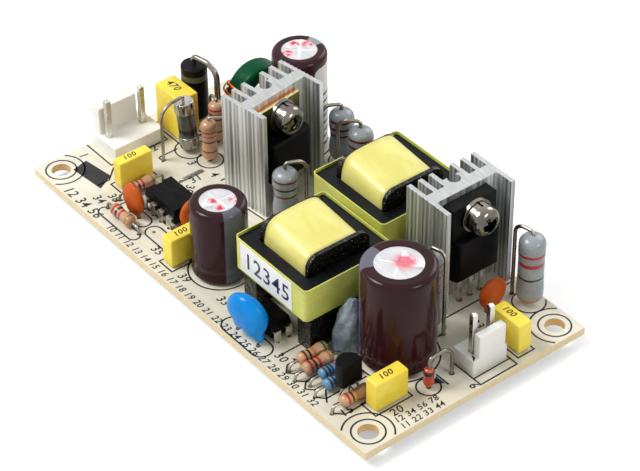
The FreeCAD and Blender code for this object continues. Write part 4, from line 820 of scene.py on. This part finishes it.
def sleeve_mesh(name, x, y, diameter, height):
    """Outer side of a sleeve from foot to mouth. The groove is a bell, depth times exp(-t^2) of the
    height over its middle, the shoulder a quarter circle, and the mouth a share of the radius."""
    radius = diameter / 2
    straight = np.linspace(4.8, height - SHOULDER, 14)
    up = np.concatenate([[0.02], np.linspace(0.1, 4.6, 40), straight])
    out = radius - GROOVE_DEPTH * np.exp(-((up - GROOVE_UP) / GROOVE_WIDE) ** 2)
    out -= CURL * np.clip(1 - up / SHOULDER, 0, 1) ** 2
    turn = np.linspace(0, np.pi / 2, 15)[1:]
    shoulder_up = height - SHOULDER + SHOULDER * np.sin(turn)
    shoulder_out = radius - SHOULDER + SHOULDER * np.cos(turn)
    inward = np.linspace(radius - SHOULDER - 0.15, radius * MOUTH + 0.12, 5)
    lip = height - np.array([0.02, 0.02, 0.02, 0.02, 0.02, 0.08, 0.3])
    along = np.concatenate([up, shoulder_up, lip])
    reach = np.concatenate([out, shoulder_out, inward, [radius * MOUTH + 0.02, radius * MOUTH]])
    return turned(name, along, reach, above_board([x, y, 0]), (0, 0, 1), 72, caps=False)


VIVID, SOFT = paint(222, 34, 52), paint(226, 112, 128)
# Place, diameter and height; the stripe's turn, half width, tone and bar pitch; the panel's turn,
# half width and top; each dab's turn and distance; its reach, the limits of its noise and its ink.
CANS = (("back_can", -24.4, 20.0, 10.8, 22.4, (1.66, 0.35, paint(150, 150, 156), 3.2),
         (0.56, 0.66, 20.4), ((-1.78, 2.6), (2.79, 2.3), (1.78, 2.4)), 1.5, (0.44, 0.56), VIVID),
        ("centre_can", -3.4, -15.3, 10.7, 16.2, (-0.06, 0.38, paint(92, 96, 102), 0),
         None, ((0.97, 2.9), (-0.38, 2.3), (-1.95, 1.1)), 1.3, (0.42, 0.54), VIVID),
        ("output_can", 35.0, -5.0, 13.8, 21.0, (-2.51, 0.5, paint(104, 104, 118), 3.4),
         None, ((1.27, 1.1),), 2.9, (0.3, 0.46), SOFT))
for node, x, y, diameter, height, stripe, panel, dabs, reach, patch, ink_tone in CANS:
    film = sleeve(node + "_film", x, y, diameter / 2, stripe, panel)
    mesh = sleeve_mesh("film_of_" + node, x, y, diameter, height)
    piece("film_of_" + node, mesh, film, node + "_sleeve")
    softened(can_top(node + "_metal", x, y, height, dabs, reach, patch, ink_tone), node, limit=40)
    print(node, "is", diameter, "by", height, "mm")
BUNG = moulded("bung_rubber", paint(14, 14, 14), paint(24, 24, 24), (0.6, 0.8), 2500)
softened(BUNG, "can_bungs", edge=0.1)

# %% [markdown]
# ## Resistors
# An axial resistor is a ceramic rod with pressed end caps, dipped in paint: two bulbs over the
# caps, a slimmer middle, and paint that creeps a little up each lead. Its value is painted on
# as rings. A ColorRamp with constant steps, read along the UV map, paints the rings, and a little
# noise in that coordinate keeps their edges from being machine sharp.

# %% Resistor shape and ring paint
def rod_profile(length, diameter, waist):
    """Radius along a dipped rod. Each bulb is a superellipse, the root of one less the fourth
    power of the distance from its middle, and the waist blends in between by a smooth step."""
    share = (1 - np.cos(np.linspace(0, np.pi, 61))) / 2
    along = share * length
    end = diameter * 0.42
    near = np.clip(np.minimum(along, length - along) / end, 0, 1)
    dome = (1 - (1 - near) ** 2.6) ** (1 / 2.1)
    inward = np.clip((np.minimum(along, length - along) - end * 1.5) / (end * 1.1), 0, 1)
    narrow = 1 - (1 - waist) * inward ** 2 * (3 - 2 * inward)
    return along, np.maximum(diameter / 2 * dome * narrow, diameter * 0.1)


def ringed(name, base, rings):
    """Paint with rings: each ring is its middle and its width as shares of the length, and its
    colour."""
    finish = Finish(name, Coat_Weight=0.25, Coat_Roughness=0.12)
    tone, grain = mottled(finish, 2200)
    share = finish.axis(1, finish.node("ShaderNodeUVMap", uv_map="along").outputs[0])
    wander = finish.math("MULTIPLY_ADD", finish.noise(900, 2), 0.016, -0.008)
    ramp = finish.node("ShaderNodeValToRGB")
    ramp.color_ramp.interpolation = "CONSTANT"
    stops = ramp.color_ramp.elements
    stops[0].color = base
    stops[1].position = 0.999
    stops[1].color = base
    for middle, width, colour in rings:
        stops.new(middle - width / 2).color = colour
        stops.new(middle + width / 2).color = base
    finish.feed(ramp.inputs[0], finish.math("ADD", share, wander))
    shade = finish.blend(finish.spread(tone, 0.2, 0.8), paint(214, 214, 214), paint(255, 255, 255))
    finish.to(Base_Color=finish.blend(1.0, ramp.outputs[0], shade, "MULTIPLY"))
    finish.gloss(grain, 0.24, 0.4)
    finish.bump(tone, 0.00006, 0.5)
    return finish


TAN, GREY, SKY = paint(206, 158, 118), paint(156, 163, 168), paint(96, 160, 204)
RED, DARK_RED, BLACK_RING = paint(190, 40, 24), paint(112, 18, 22), paint(16, 14, 16)
CRIMSON = paint(186, 26, 54)
ORANGE_RING, BROWN_RING, GOLD_RING = paint(206, 116, 40), paint(92, 48, 26), paint(168, 122, 52)
GREEN_RING, BLUE_RING = paint(36, 110, 60), paint(30, 50, 110)
LAST_RING = 0.84


def rings(*colours, first=0.2, step=0.15, width=0.07):
    """Rings at even steps from one end, with the last colour near the other end."""
    places = [first + step * number for number in range(len(colours) - 1)] + [LAST_RING]
    return [(place, width, colour) for place, colour in zip(places, colours)]


TAN_RINGS = [rings(RED, BLACK_RING, RED, GOLD_RING, width=0.08),
             rings(RED, DARK_RED, RED, GOLD_RING, width=0.08),
             rings(RED, RED, DARK_RED, GOLD_RING, width=0.07),
             rings(BROWN_RING, BLACK_RING, ORANGE_RING, GREEN_RING),
             rings(RED, BROWN_RING, ORANGE_RING, GOLD_RING)]
BLUE_RINGS = rings(BROWN_RING, BLACK_RING, BLUE_RING, RED, BROWN_RING,
                   first=0.16, step=0.13, width=0.06)
# Length, diameter, waist as a share, base paint, and then each one's direction, middle and rings.
LYING = {
    "tan": (6.4, 2.4, 0.84, TAN,
            [("x", -26.3, -21.3, TAN_RINGS[0]), ("y", -31.9, -13.1, TAN_RINGS[1]),
             ("y", 26.6, -17.6, TAN_RINGS[3]), ("y", 29.2, -18.4, TAN_RINGS[1]),
             ("y", 39.7, -18.6, TAN_RINGS[4])]),
    "blue": (6.0, 2.2, 0.8, SKY,
             [("y", 31.9, -17.2, BLUE_RINGS), ("y", 34.6, -18.2, BLUE_RINGS)]),
}
GREY_RINGS = [(0.84, 0.04, DARK_RED), (0.7, 0.05, DARK_RED), (0.56, 0.04, BLACK_RING)]
# Name, length, diameter, waist, base paint, place, and each ring's middle, width and colour.
STANDING = [
    ("tan_upright_1", 9.0, 3.3, 0.86, TAN, -31.2, 2.8,
     [(0.26, 0.03, BROWN_RING), (0.5, 0.045, DARK_RED), (0.64, 0.045, RED), (0.77, 0.045, RED)]),
    ("tan_upright_2", 9.0, 3.3, 0.86, TAN, -35.2, 7.6,
     [(0.86, 0.045, RED), (0.74, 0.045, RED), (0.6, 0.045, DARK_RED), (0.3, 0.04, GREEN_RING)]),
    ("grey_upright_1", 11.7, 5.0, 0.9, GREY, -6.9, 2.7,
     [(0.85, 0.03, DARK_RED), (0.7, 0.04, BLACK_RING), (0.55, 0.04, DARK_RED),
      (0.2, 0.03, GOLD_RING)]),
    ("grey_upright_2", 11.7, 5.0, 0.9, GREY, -14.9, 22.7, GREY_RINGS),
    ("grey_upright_3", 11.7, 5.0, 0.9, GREY, -8.0, 21.8, GREY_RINGS),
    ("grey_upright_4", 17.0, 4.4, 0.92, GREY, 33.2, 3.9,
     [(middle, 0.02, RED) for middle in (0.86, 0.78, 0.7, 0.6, 0.5)]),
    ("grey_upright_5", 15.0, 5.0, 0.96, GREY, 39.3, 22.4,
     [(0.76, 0.04, CRIMSON), (0.62, 0.055, CRIMSON), (0.41, 0.03, BLACK_RING),
      (0.075, 0.05, ORANGE_RING)]),
]
print("ring patterns:", len(TAN_RINGS), "tan, the first with", len(TAN_RINGS[0]), "rings")

# %% [markdown]
# ## Resistors in place
# Lying resistors hang in the bend of their leads a little over the board, and power resistors stand
# on end. Each gets a paint of its own, since its rings and the noise in them differ. The first of
# a kind stands for the one CAD node that holds all of that kind.

# %% Resistors in place
LYING_GAP, STANDING_GAP = 0.25, 0.6
FIRST_OF_KIND = ("tan_resistor_1", "blue_resistor_1", "grey_upright_1")


def resistor(name, shape, foot, direction, sides, base, paints):
    """One dipped rod from its foot along its direction. Its shape is length, diameter and waist,
    and the first word of its name is its kind."""
    mesh = turned(name, *rod_profile(*shape), above_board(foot), direction, sides)
    node = name.split("_")[0] + "_resistors"
    replaced = [node] if name in FIRST_OF_KIND else []
    piece(name, mesh, ringed(name + "_paint", base, paints), *replaced, slot=node)


for kind, (length, diameter, waist, base, places) in LYING.items():
    for number, (axis, x, y, paints) in enumerate(places):
        direction = np.array((1, 0, 0) if axis == "x" else (0, 1, 0))
        foot = np.array([x, y, LYING_GAP + diameter / 2]) - direction * length / 2
        resistor(f"{kind}_resistor_{number + 1}", (length, diameter, waist), foot, direction, 32,
                 base, paints)
for name, length, diameter, waist, base, x, y, paints in STANDING:
    resistor(name, (length, diameter, waist), [x, y, STANDING_GAP], (0, 0, 1), 48, base, paints)
print("resistors:", sum(len(row[-1]) for row in LYING.values()) + len(STANDING))

# %% [markdown]
# ## Solder side
# Below the board, copper tracks run from joint to joint under the green coat, which stands up a
# little and looks paler over them. Nobody sees this side in the photo, so the tracks are a guess:
# each joint's place is read from the solids, and a shortest tree of links between the joints,
# with the long links left out, gives the routes.

# %% Tracks under the coat
ROUND_POINTS = 9
TRACK_HALVES = (0.0011, 0.0007, 0.0009)
TRACK_REACH = 0.011
TRACK_DROP, TRACK_STEP = 0.000015, 0.0000004


def islands(mesh):
    """Middle in plan of each loose part: every corner takes the lowest number among its linked
    corners, over and over, until nothing changes."""
    links = np.empty(len(mesh.edges) * 2, dtype=np.int64)
    mesh.edges.foreach_get("vertices", links)
    links = links.reshape(-1, 2)
    label = np.arange(len(mesh.vertices))
    while True:
        lowest = np.minimum(label[links[:, 0]], label[links[:, 1]])
        fresh = label.copy()
        np.minimum.at(fresh, links[:, 0], lowest)
        np.minimum.at(fresh, links[:, 1], lowest)
        if np.array_equal(fresh, label):
            break
        label = fresh
    plan = corners_of(mesh)[:, :2]
    return np.array([plan[label == number].mean(axis=0) for number in np.unique(label)])


def shortest_tree(points):
    """Links of the shortest tree: the nearest point not yet joined is joined, again and again."""
    gaps = np.linalg.norm(points[:, None] - points[None], axis=2)
    nearest = np.zeros(len(points), dtype=int)
    reach = gaps[0].copy()
    reach[0] = np.inf
    links = []
    for _ in range(len(points) - 1):
        chosen = int(np.argmin(reach))
        links.append((int(nearest[chosen]), chosen, float(reach[chosen])))
        closer = (gaps[chosen] < reach) & np.isfinite(reach)
        nearest[closer] = chosen
        reach[closer] = gaps[chosen][closer]
        reach[chosen] = np.inf
    return links


def track_mesh(name, points, links, low):
    """Flat bars with round ends, one a link: two half circles joined as one face. Each bar lies a
    hair lower than the one before it, so that no two share a plane."""
    corners = []
    faces = []
    for number, (first, second, _) in enumerate(links):
        along = points[second] - points[first]
        half = TRACK_HALVES[number % len(TRACK_HALVES)]
        base = math.atan2(along[1], along[0])
        turn = base + np.linspace(-np.pi / 2, np.pi / 2, ROUND_POINTS)
        ring = np.vstack([circle(*points[second], half, turn), circle(*points[first], -half, turn)])
        level = np.full((len(ring), 1), low - TRACK_DROP - TRACK_STEP * number)
        corners.append(np.hstack([ring, level]))
        faces.append([len(ring) * number + corner for corner in reversed(range(len(ring)))])
    mesh = bpy.data.meshes.new(name)
    mesh.from_pydata(np.vstack(corners).tolist(), [], faces)
    return mesh


joints = islands(joined("solder_joints"))
routes = [link for number, link in enumerate(shortest_tree(joints))
          if link[2] < TRACK_REACH and number % 4]
TRACK = moulded("coat_over_copper", paint(96, 120, 66), paint(112, 136, 78), (0.22, 0.36), 900)
tracks = track_mesh("tracks", joints, routes, BOARD_LOW[2])
piece("solder_side_tracks", tracks, TRACK, slot="circuit_board")
print("joints:", len(joints), "tracks:", len(routes))

# %% [markdown]
# ## Black print
# The drawing of each place is screen printed: rings round the corner holes, outlines of the parts,
# a figure beside some. Ink is far too thin to model as a solid, so each line is a flat ribbon
# 0.02 mm above the coat. The figures are plain counting numbers, set in the built-in font.

# %% Print kit
INK_LEVEL = BOARD_TOP + 0.00002
LINE_WIDTH = 0.33
FONT_SHARE, STROKE, SPACING = 1.42, 0.03, 1.08
ink_points = []
ink_faces = []


def ink(points, faces, above=0.0, wall=None):
    """Adds flat faces, in millimetres of the board's plan and above its print, to the print. Where
    a wall is given, the second number is a height on the upright face that stands at that Y."""
    start = sum(len(part) for part in ink_points)
    points = np.asarray(points, dtype=float)
    if wall is None:
        level = np.full((len(points), 1), INK_LEVEL / MM + above)
        ink_points.append(np.hstack([points, level]) * MM)
    else:
        ink_points.append(np.insert(points, 1, wall, axis=1) * MM)
    ink_faces.extend([[start + corner for corner in face] for face in faces])


def line(points, width=LINE_WIDTH, closed=False):
    """Ribbon along a run of points. Each corner moves by half the width along the mean of its two
    sides' normals, lengthened by one over the cosine of half the turn, so the width holds."""
    points = np.asarray(points, dtype=float)
    step = np.roll(points, -1, axis=0) - points
    if not closed:
        step[-1] = step[-2]
    step /= np.linalg.norm(step, axis=1)[:, None]
    before = np.roll(step, 1, axis=0)
    if not closed:
        before[0] = step[0]
        before[-1] = step[-1]
    normal = np.stack([-(step + before)[:, 1], (step + before)[:, 0]], axis=1)
    normal /= np.linalg.norm(normal, axis=1)[:, None]
    cosine = np.clip(normal[:, 0] * -step[:, 1] + normal[:, 1] * step[:, 0], 0.3, 1)
    shift = normal * (width / 2 / cosine)[:, None]
    count = len(points)
    last = count if closed else count - 1
    here = np.arange(last)
    after = (here + 1) % count
    faces = np.stack([here, after, count + after, count + here], axis=1)
    ink(np.vstack([points - shift, points + shift]), faces.tolist())


def arc(x, y, radius, start=0, end=360):
    """Circle or part of one, from one angle to another in degrees."""
    whole = abs(end - start) >= 360
    angle = np.radians(np.linspace(start, end, 49, endpoint=not whole))
    line(circle(x, y, radius, angle), closed=whole)


def pill(x0, x1, y, half):
    """Long rounded outline along X: two straight lines and two half circles."""
    angle = np.radians(np.linspace(-90, 90, 13))
    ends = circle(x1 - half, y, half, angle), circle(x0 + half, y, -half, angle)
    line(np.vstack(ends), closed=True)


def figures(text, x, y, height, turn=0.0, above=0.0, lean=0.15, wall=None):
    """Plain figures in the built-in font, set as a mesh and turned about their corner."""
    curve = bpy.data.curves.new("figures", "FONT")
    curve.body = text
    curve.size = height * FONT_SHARE
    curve.offset = STROKE
    curve.space_character = SPACING
    curve.shear = lean
    curve.resolution_u = 2
    holder = bpy.data.objects.new("figures", curve)
    mesh = bpy.data.meshes.new_from_object(holder)
    angle = math.radians(turn)
    spin = np.array([[math.cos(angle), math.sin(angle)], [-math.sin(angle), math.cos(angle)]])
    faces = [list(face.vertices) for face in mesh.polygons]
    ink(corners_of(mesh)[:, :2] @ spin + np.array([x, y]), faces, above, wall)
    bpy.data.objects.remove(holder)
    bpy.data.curves.remove(curve)
    bpy.data.meshes.remove(mesh)


def printed(name, finish, slot):
    """Makes one piece of all the ink laid down so far, and starts anew."""
    mesh = bpy.data.meshes.new(name)
    mesh.from_pydata(np.vstack(ink_points).tolist(), [], ink_faces)
    piece(name, mesh, finish, slot=slot)
    print(name, "faces:", len(ink_faces))
    ink_points.clear()
    ink_faces.clear()


print("ink lies at", round(INK_LEVEL / MM, 3), "mm")

# %% [markdown]
# ## The board's drawing
# Each outline is placed in millimetres from the board's middle, as read through the camera. Rings
# that would run over the back edge are drawn as arcs that stop before it. Figures stand beside the
# outlines, in a row along the front edge, on the film capacitors' tops and on the label.

# %% The board's drawing
arc(-24.4, 20.0, 6.0, 124, 416)
for side_x, side_y in ((-1, -1), (1, -1), (1, 1), (-1, 1)):
    inward = math.degrees(math.atan2(-side_y, -side_x))
    arc(side_x * HOLE_X, side_y * HOLE_Y, 3.0)
    arc(side_x * HOLE_X, side_y * HOLE_Y, 4.6, inward - 93, inward + 93)
arc(39.3, 22.4, 3.1, 118, 422)
arc(-14.9, 22.7, 2.6, 110, 430)
for x, y, radius in ((-36.5, 1.9, 3.1), (-31.2, 2.8, 2.6), (45.0, -6.4, 2.2), (-3.4, -15.3, 6.1),
                     (35.0, -5.0, 7.6), (-44.7, 9.3, 3.3), (-6.9, 2.7, 3.1), (-8.0, 21.8, 3.1),
                     (33.2, 3.9, 2.9)):
    arc(x, y, radius)
for x0, x1, y0, y1 in ((-47.9, -39.0, 1.2, 6.8), (-37.1, -33.6, -16.7, -8.1),
                       (-12.3, -8.3, -22.9, -14.7), (41.0, 44.9, -18.2, -10.0),
                       (41.1, 49.3, 10.7, 14.5), (-27.9, -17.9, -15.6, -8.4),
                       (20.8, 33.2, 7.6, 24.2), (42.6, 50.3, 1.0, 9.5)):
    line([(x0, y0), (x1, y0), (x1, y1), (x0, y1)], closed=True)
for x0, x1, y, half in ((-32.2, -20.2, -22.3, 1.25), (-30.8, -22.2, -18.5, 1.75),
                        (-21.6, -13.4, -18.7, 1.7), (8.4, 21.0, -23.0, 2.1)):
    pill(x0, x1, y, half)
for x in (26.6, 29.2, 31.9, 34.6, 39.7):
    left, right = x - 1.5, x + 1.5
    line([(left, -13.0), (left, -22.0), (x, -23.4), (right, -22.0), (right, -13.0)])
for points in (((48.4, 1.0), (48.4, 9.5)),
               ((-50.5, -13.2), (-42.0, -13.2), (-42.0, 0.2), (-50.5, 0.2)),
               ((-41.2, -13.2), (-38.4, -16.2), (-38.4, -19.0)), ((-38.2, -4.3), (-38.2, 0.0)),
               ((22.3, -21.5), (22.3, -13.5), (25.6, -13.5)),
               ((37.0, -22.6), (34.4, -20.8), (34.4, -16.9), (38.6, -16.9)),
               ((-24.6, 0.4), (-24.6, 15.4)), ((-22.6, -1.6), (-9.6, -0.4))):
    line(points)
ink([(43.7, -3.6), (44.9, -5.3), (46.1, -3.6)], [[0, 1, 2]])
line([(43.4, -3.3), (46.7, -3.3)], 0.4)
for text, x, y, turn in (("1", -48.8, -16.4, 0), ("38", -34.6, -19.4, 0), ("34", -36.0, -21.9, 0),
                         ("3", -33.4, -1.4, 0), ("4", -27.6, -0.2, 0), ("30", -27.8, -5.4, -45),
                         ("35", -16.4, -22.2, 0), ("32", -31.2, -8.2, 0), ("31", -27.3, -4.4, 90),
                         ("39", -6.9, -22.9, 0), ("33", 2.8, -21.2, 0), ("20", 46.9, -15.9, 90),
                         ("30", 21.5, -22.4, 0), ("2", 24.2, -20.3, 0), ("12", -40.4, -5.6, 90),
                         ("5", -36.5, -5.2, 90), ("21", 40.2, 6.2, 0), ("23", 36.6, 10.3, 0),
                         ("15", 41.6, -22.7, 90), ("6", 49.0, -0.9, 0), ("7", 40.6, 9.2, 0),
                         ("22", -14.4, -6.2, 0), ("24", -1.8, -6.9, 0), ("8", -45.4, 13.8, 0)):
    figures(text, x, y, 1.75, turn)
figures("12 34 56", -41.6, -25.0, 2.1)
figures(" ".join(str(number) for number in range(10, 33)), -26.9, -25.0, 1.4)
figures("12 34 56 78", 48.5, -16.5, 1.3, 90)
figures("11 22 33 44", 50.3, -16.6, 1.3, 90)
for text, x, y, height, above in (("100", -34.8, -14.6, 1.3, 6.2), ("100", -9.7, -20.7, 1.3, 6.4),
                                  ("100", 43.6, -16.0, 1.3, 6.3)):
    figures(text, x, y, height, 90, above)
figures("100", 43.0, 12.0, 1.3, 0, 6.6)
figures("470", -46.2, 3.3, 1.6, 0, 10.0)
ink([(-45.5, -19.8), (-37.2, -19.0), (-39.3, -15.2), (-46.4, -16.2)], [[0, 1, 2, 3]])
INK = moulded("screen_ink", paint(14, 14, 16), paint(26, 26, 28), (0.45, 0.65), 6000)
printed("board_print", INK, "circuit_board")
figures("12345", 8.2, 13.4, 3.5, lean=0.0, wall=-18.33)
LABEL_INK = moulded("label_ink", paint(24, 26, 62), paint(40, 42, 84), (0.45, 0.6), 3000)
printed("label_print", LABEL_INK, "transformer_label")

# %% [markdown]
# ## Taped windings
# Tape pulled round a coil takes the smoothest way over it, so its outline has no kink between the
# shoulder and the crown. Each winding is worked out anew from the bounds of its solid. Across X its
# outline is a superellipse, y = a sgn(cos t) |cos t|^(2/p) and z = m + b sgn(sin t) |sin t|^(2/p):
# with p = 2 that is an ellipse, and a higher p squares the shoulders. The half height b grows in a
# straight line from the low end to the high one.

# %% Winding surfaces
SQUARENESS = 4.0


def signed_power(values):
    """Sign of each value times its size to the power two over the squareness."""
    return np.sign(values) * abs(values) ** (2 / SQUARENESS)


def winding_mesh(name, node):
    """Tape round a coil, as wide, long and high as the solid of that node."""
    solid = joined(node)
    points = corners_of(solid)
    low, high = points.min(axis=0), points.max(axis=0)
    share = np.linspace(0, 1, 9)[:, None]
    ends = [points[abs(points[:, 0] - x) < 0.1 * MM, 2].max() for x in (low[0], high[0])]
    top = ends[0] + (ends[1] - ends[0]) * share
    half = (top - low[2]) / 2
    angle = np.linspace(0, 2 * np.pi, 128, endpoint=False)
    x = low[0] + (high[0] - low[0]) * share
    y = (low[1] + high[1]) / 2 + (high[1] - low[1]) / 2 * signed_power(np.cos(angle))
    z = low[2] + half + half * signed_power(np.sin(angle))
    bpy.data.meshes.remove(solid)
    return grid_mesh(name, np.stack(np.broadcast_arrays(x, y, z), axis=-1))


for word in ("main", "second"):
    mesh = winding_mesh(f"{word}_taped_winding", f"{word}_transformer_winding")
    piece(f"{word}_taped_winding", mesh, WINDING_TAPE, f"{word}_transformer_winding")
    print(word, "winding faces:", len(mesh.polygons))

# %% [markdown]
# ## Dipped discs
# A ceramic disc is dipped with its leads on, so the coating covers it like a lens and runs down
# both leads to a point. Seen square on, the outline is a circle that reaches out towards each lead.
# Across, it is as thick as the disc and thins to nothing at the outline. A grid in polar steps
# holds both: one row per step outwards, one column per direction.

# %% Dipped disc shape
TAIL_WIDTH = 0.21


def rotated(first, second, angle):
    """Two coordinates turned by an angle: (a cos - b sin, a sin + b cos)."""
    return (first * np.cos(angle) - second * np.sin(angle),
            first * np.sin(angle) + second * np.cos(angle))


def dipped_mesh(name, diameter, thick, pitch, rise, axis, x, y, lean, twist):
    """Lens in polar steps. The outline's radius is half the diameter plus, at each lead's
    direction, a bell curve as high as that lead's foot is beyond the circle. Half the thickness is
    the root of one less the step squared, times half the disc's thickness, and less in the tails.
    The disc may be twisted on its leads: not at their feet, and fully from its middle up."""
    radius = diameter / 2
    angle = np.linspace(0, 2 * np.pi, 96, endpoint=False)
    foot = math.hypot(pitch / 2, radius + rise * 0.75)
    lead = math.atan2(-(radius + rise * 0.75), pitch / 2)
    leads = np.array([[lead], [-math.pi - lead]])
    off = (angle - leads + np.pi) % (2 * np.pi) - np.pi
    bell = (1 / (1 + (off / TAIL_WIDTH) ** 2) ** 1.5).max(axis=0)
    outline = radius + (foot - radius) * bell
    step = np.sin(np.linspace(0, np.pi / 2, 19))[:, None]
    across = step * outline * np.cos(angle)
    upward = step * outline * np.sin(angle)
    beyond = np.clip((np.hypot(across, upward) - radius * 0.86) / (radius * 0.3), 0, 1)
    half = thick / 2 * np.clip(1 - step ** 2.4, 0, 1) ** 0.5 * (1 - 0.3 * beyond)
    height = upward * math.cos(math.radians(lean)) + radius + rise
    leant = -upward * math.sin(math.radians(lean))
    front, rear = (np.stack([across, leant + side, height], axis=-1) for side in (half, -half))
    wide, deep, height = np.moveaxis(np.vstack([front[:-1], rear[::-1]]), -1, 0)
    turn = math.radians(twist) * np.clip(height / (radius + rise), 0, 1) ** 1.5
    wide, deep = rotated(wide, deep, turn)
    if axis == "y":
        wide, deep = -deep, wide
    grid = above_board(np.stack([x + wide, y + deep, height], axis=-1))
    return grid_mesh(name, grid[:, ::-1], caps=False)


def dip_finish(name, dark, light, rough, coat):
    """Dipped coating: a body with little gloss of its own under a thin clear coat."""
    finish = Finish(name, Coat_Weight=coat, Coat_Roughness=0.03, Specular_IOR_Level=0.08)
    tone, grain = mottled(finish, 900)
    finish.to(Base_Color=finish.tones(tone, dark, light))
    finish.gloss(grain, *rough)
    finish.bump(finish.noise(260, 2), 0.0002, 0.4)
    return finish


ORANGE = dip_finish("orange_dip", paint(176, 74, 20), paint(202, 95, 32), (0.34, 0.5), 0.1)
BLUE = dip_finish("blue_dip", paint(0, 130, 212), paint(0, 148, 230), (0.2, 0.3), 0.2)
# Diameter, thickness, lead pitch, rise over the board, direction, place, lean, twist and coating.
DISCS = (("blue_disc_capacitor", 8.8, 4.4, 6.0, 1.2, "x", 14.9, -22.8, 7.0, 12.0, BLUE),
         ("left_disc_capacitor", 6.2, 2.4, 2.54, 0.7, "x", -26.5, -18.5, 0.0, 0.0, ORANGE),
         ("middle_disc_capacitor", 6.2, 2.4, 2.54, 0.7, "y", -16.2, -12.0, 0.0, 0.0, ORANGE),
         ("right_disc_capacitor", 6.2, 2.4, 2.54, 0.7, "y", 36.5, 15.9, 0.0, 0.0, ORANGE))
for node, *shape, finish in DISCS:
    piece("dipped_" + node, dipped_mesh("dipped_" + node, *shape), finish, node)
print("dipped discs:", len(DISCS))

# %% [markdown]
# ## Adhesive
# A lump of clear silicone holds the tall can to its neighbours. It is squeezed from a nozzle, so it
# is lumpy and smooth at once. The dome is a half ellipsoid whose radius swells and shrinks by
# a few slow waves round it and up it.

# %% Adhesive
LUMP_X, LUMP_Y, LUMP_HIGH = 28.0, -10.4, 11.9
LUMP_ACROSS, LUMP_ALONG, LUMP_LEAN = 2.7, 3.3, 0.9


def lump_mesh():
    """Half ellipsoid: radius times one plus small sines of the turn and the height. The middle
    moves towards the can by the square of the height."""
    turn = np.linspace(0, 2 * np.pi, 72, endpoint=False)
    rise = np.linspace(0, np.pi / 2, 33)[:, None]
    swell = 1 + 0.07 * np.sin(3 * turn + 4 * rise) + 0.05 * np.sin(5 * turn - 7 * rise + 1.0)
    swell = 0.93 + (swell - 1) * np.cos(rise) ** 0.5
    lean = LUMP_LEAN * np.sin(rise) ** 2
    x = LUMP_X + lean + LUMP_ACROSS * swell * np.cos(rise) * np.cos(turn)
    y = LUMP_Y + LUMP_ALONG * swell * np.cos(rise) * np.sin(turn)
    z = LUMP_HIGH * np.sin(rise) ** 0.9 * (0.97 + 0.03 * np.sin(4 * turn + 2.0) * np.cos(rise))
    return grid_mesh("adhesive_lump", above_board(np.stack([x, y, z], axis=-1)))


SILICONE = Finish("silicone", Transmission_Weight=0.3, IOR=1.38, Specular_IOR_Level=0.6)
haze = SILICONE.noise(420, 4)
milky = SILICONE.spread(haze, 0.35, 0.7)
SILICONE.to(Base_Color=SILICONE.blend(milky, paint(140, 158, 172), paint(204, 216, 222)))
SILICONE.gloss(haze, 0.05, 0.14)
SILICONE.bump(SILICONE.noise(420, 3), 0.001, 0.7)
piece("adhesive_lump", lump_mesh(), SILICONE, "silicone_adhesive")
print("adhesive:", LUMP_HIGH, "mm high")

# %% [markdown]
# ## Fuse and diodes
# The fuse is a glass tube with pressed caps, and the small diode is a bead of glass with one
# black ring at its cathode. Real glass is clear, but so thin a tube mostly shows what it reflects,
# so that reflection is painted on: a grey of its own, in lighter and darker streaks along the tube.

# %% Fuse and diodes
FUSE_BAND = (0.0077, 0.0081, 0.0088, 0.0092)
BEAD_RING = (0.0067, 0.0069, 0.0076, 0.0078)
FUSE_GLASS = Finish("fuse_glass", Transmission_Weight=0.75, IOR=1.45, Specular_IOR_Level=0.6)
# Lighter and darker streaks along the tube: painted reflection in the glass's grey.
reflection_streaks = FUSE_GLASS.noise(1.0, 3, FUSE_GLASS.mapped((900, 900, 120)))
ring = FUSE_GLASS.band(FUSE_GLASS.axis(2), *FUSE_BAND)
painted_reflection = FUSE_GLASS.blend(reflection_streaks, paint(104, 105, 98), paint(176, 176, 168))
FUSE_GLASS.to(Base_Color=FUSE_GLASS.blend(ring, painted_reflection, paint(22, 22, 22)))
FUSE_GLASS.gloss(reflection_streaks, 0.03, 0.12)
softened(FUSE_GLASS, "fuse_glass", limit=60)
CAP = metal("nickel_cap", paint(150, 148, 142), paint(204, 202, 196), (0.1, 0.22), 1100)
softened(CAP, "fuse_end_caps", edge=0.3, limit=50)

BEAD = Finish("diode_bead", Transmission_Weight=0.25, IOR=1.5, Coat_Weight=0.4)
cloud = BEAD.noise(700, 3)
ring = BEAD.band(BEAD.axis(2), *BEAD_RING)
amber = BEAD.tones(cloud, paint(196, 44, 22), paint(226, 84, 42))
BEAD.to(Base_Color=BEAD.blend(ring, amber, paint(14, 12, 12)))
BEAD.gloss(cloud, 0.06, 0.16)
foot = above_board([45.0, -6.4, 0.5])
bead = turned("diode_bead", *rod_profile(4.0, 2.0, 0.94), foot, (0, 0, 1), 36)
piece("diode_bead", bead, BEAD, "glass_diode")
print("bead faces:", len(bead.polygons))

# %% [markdown]
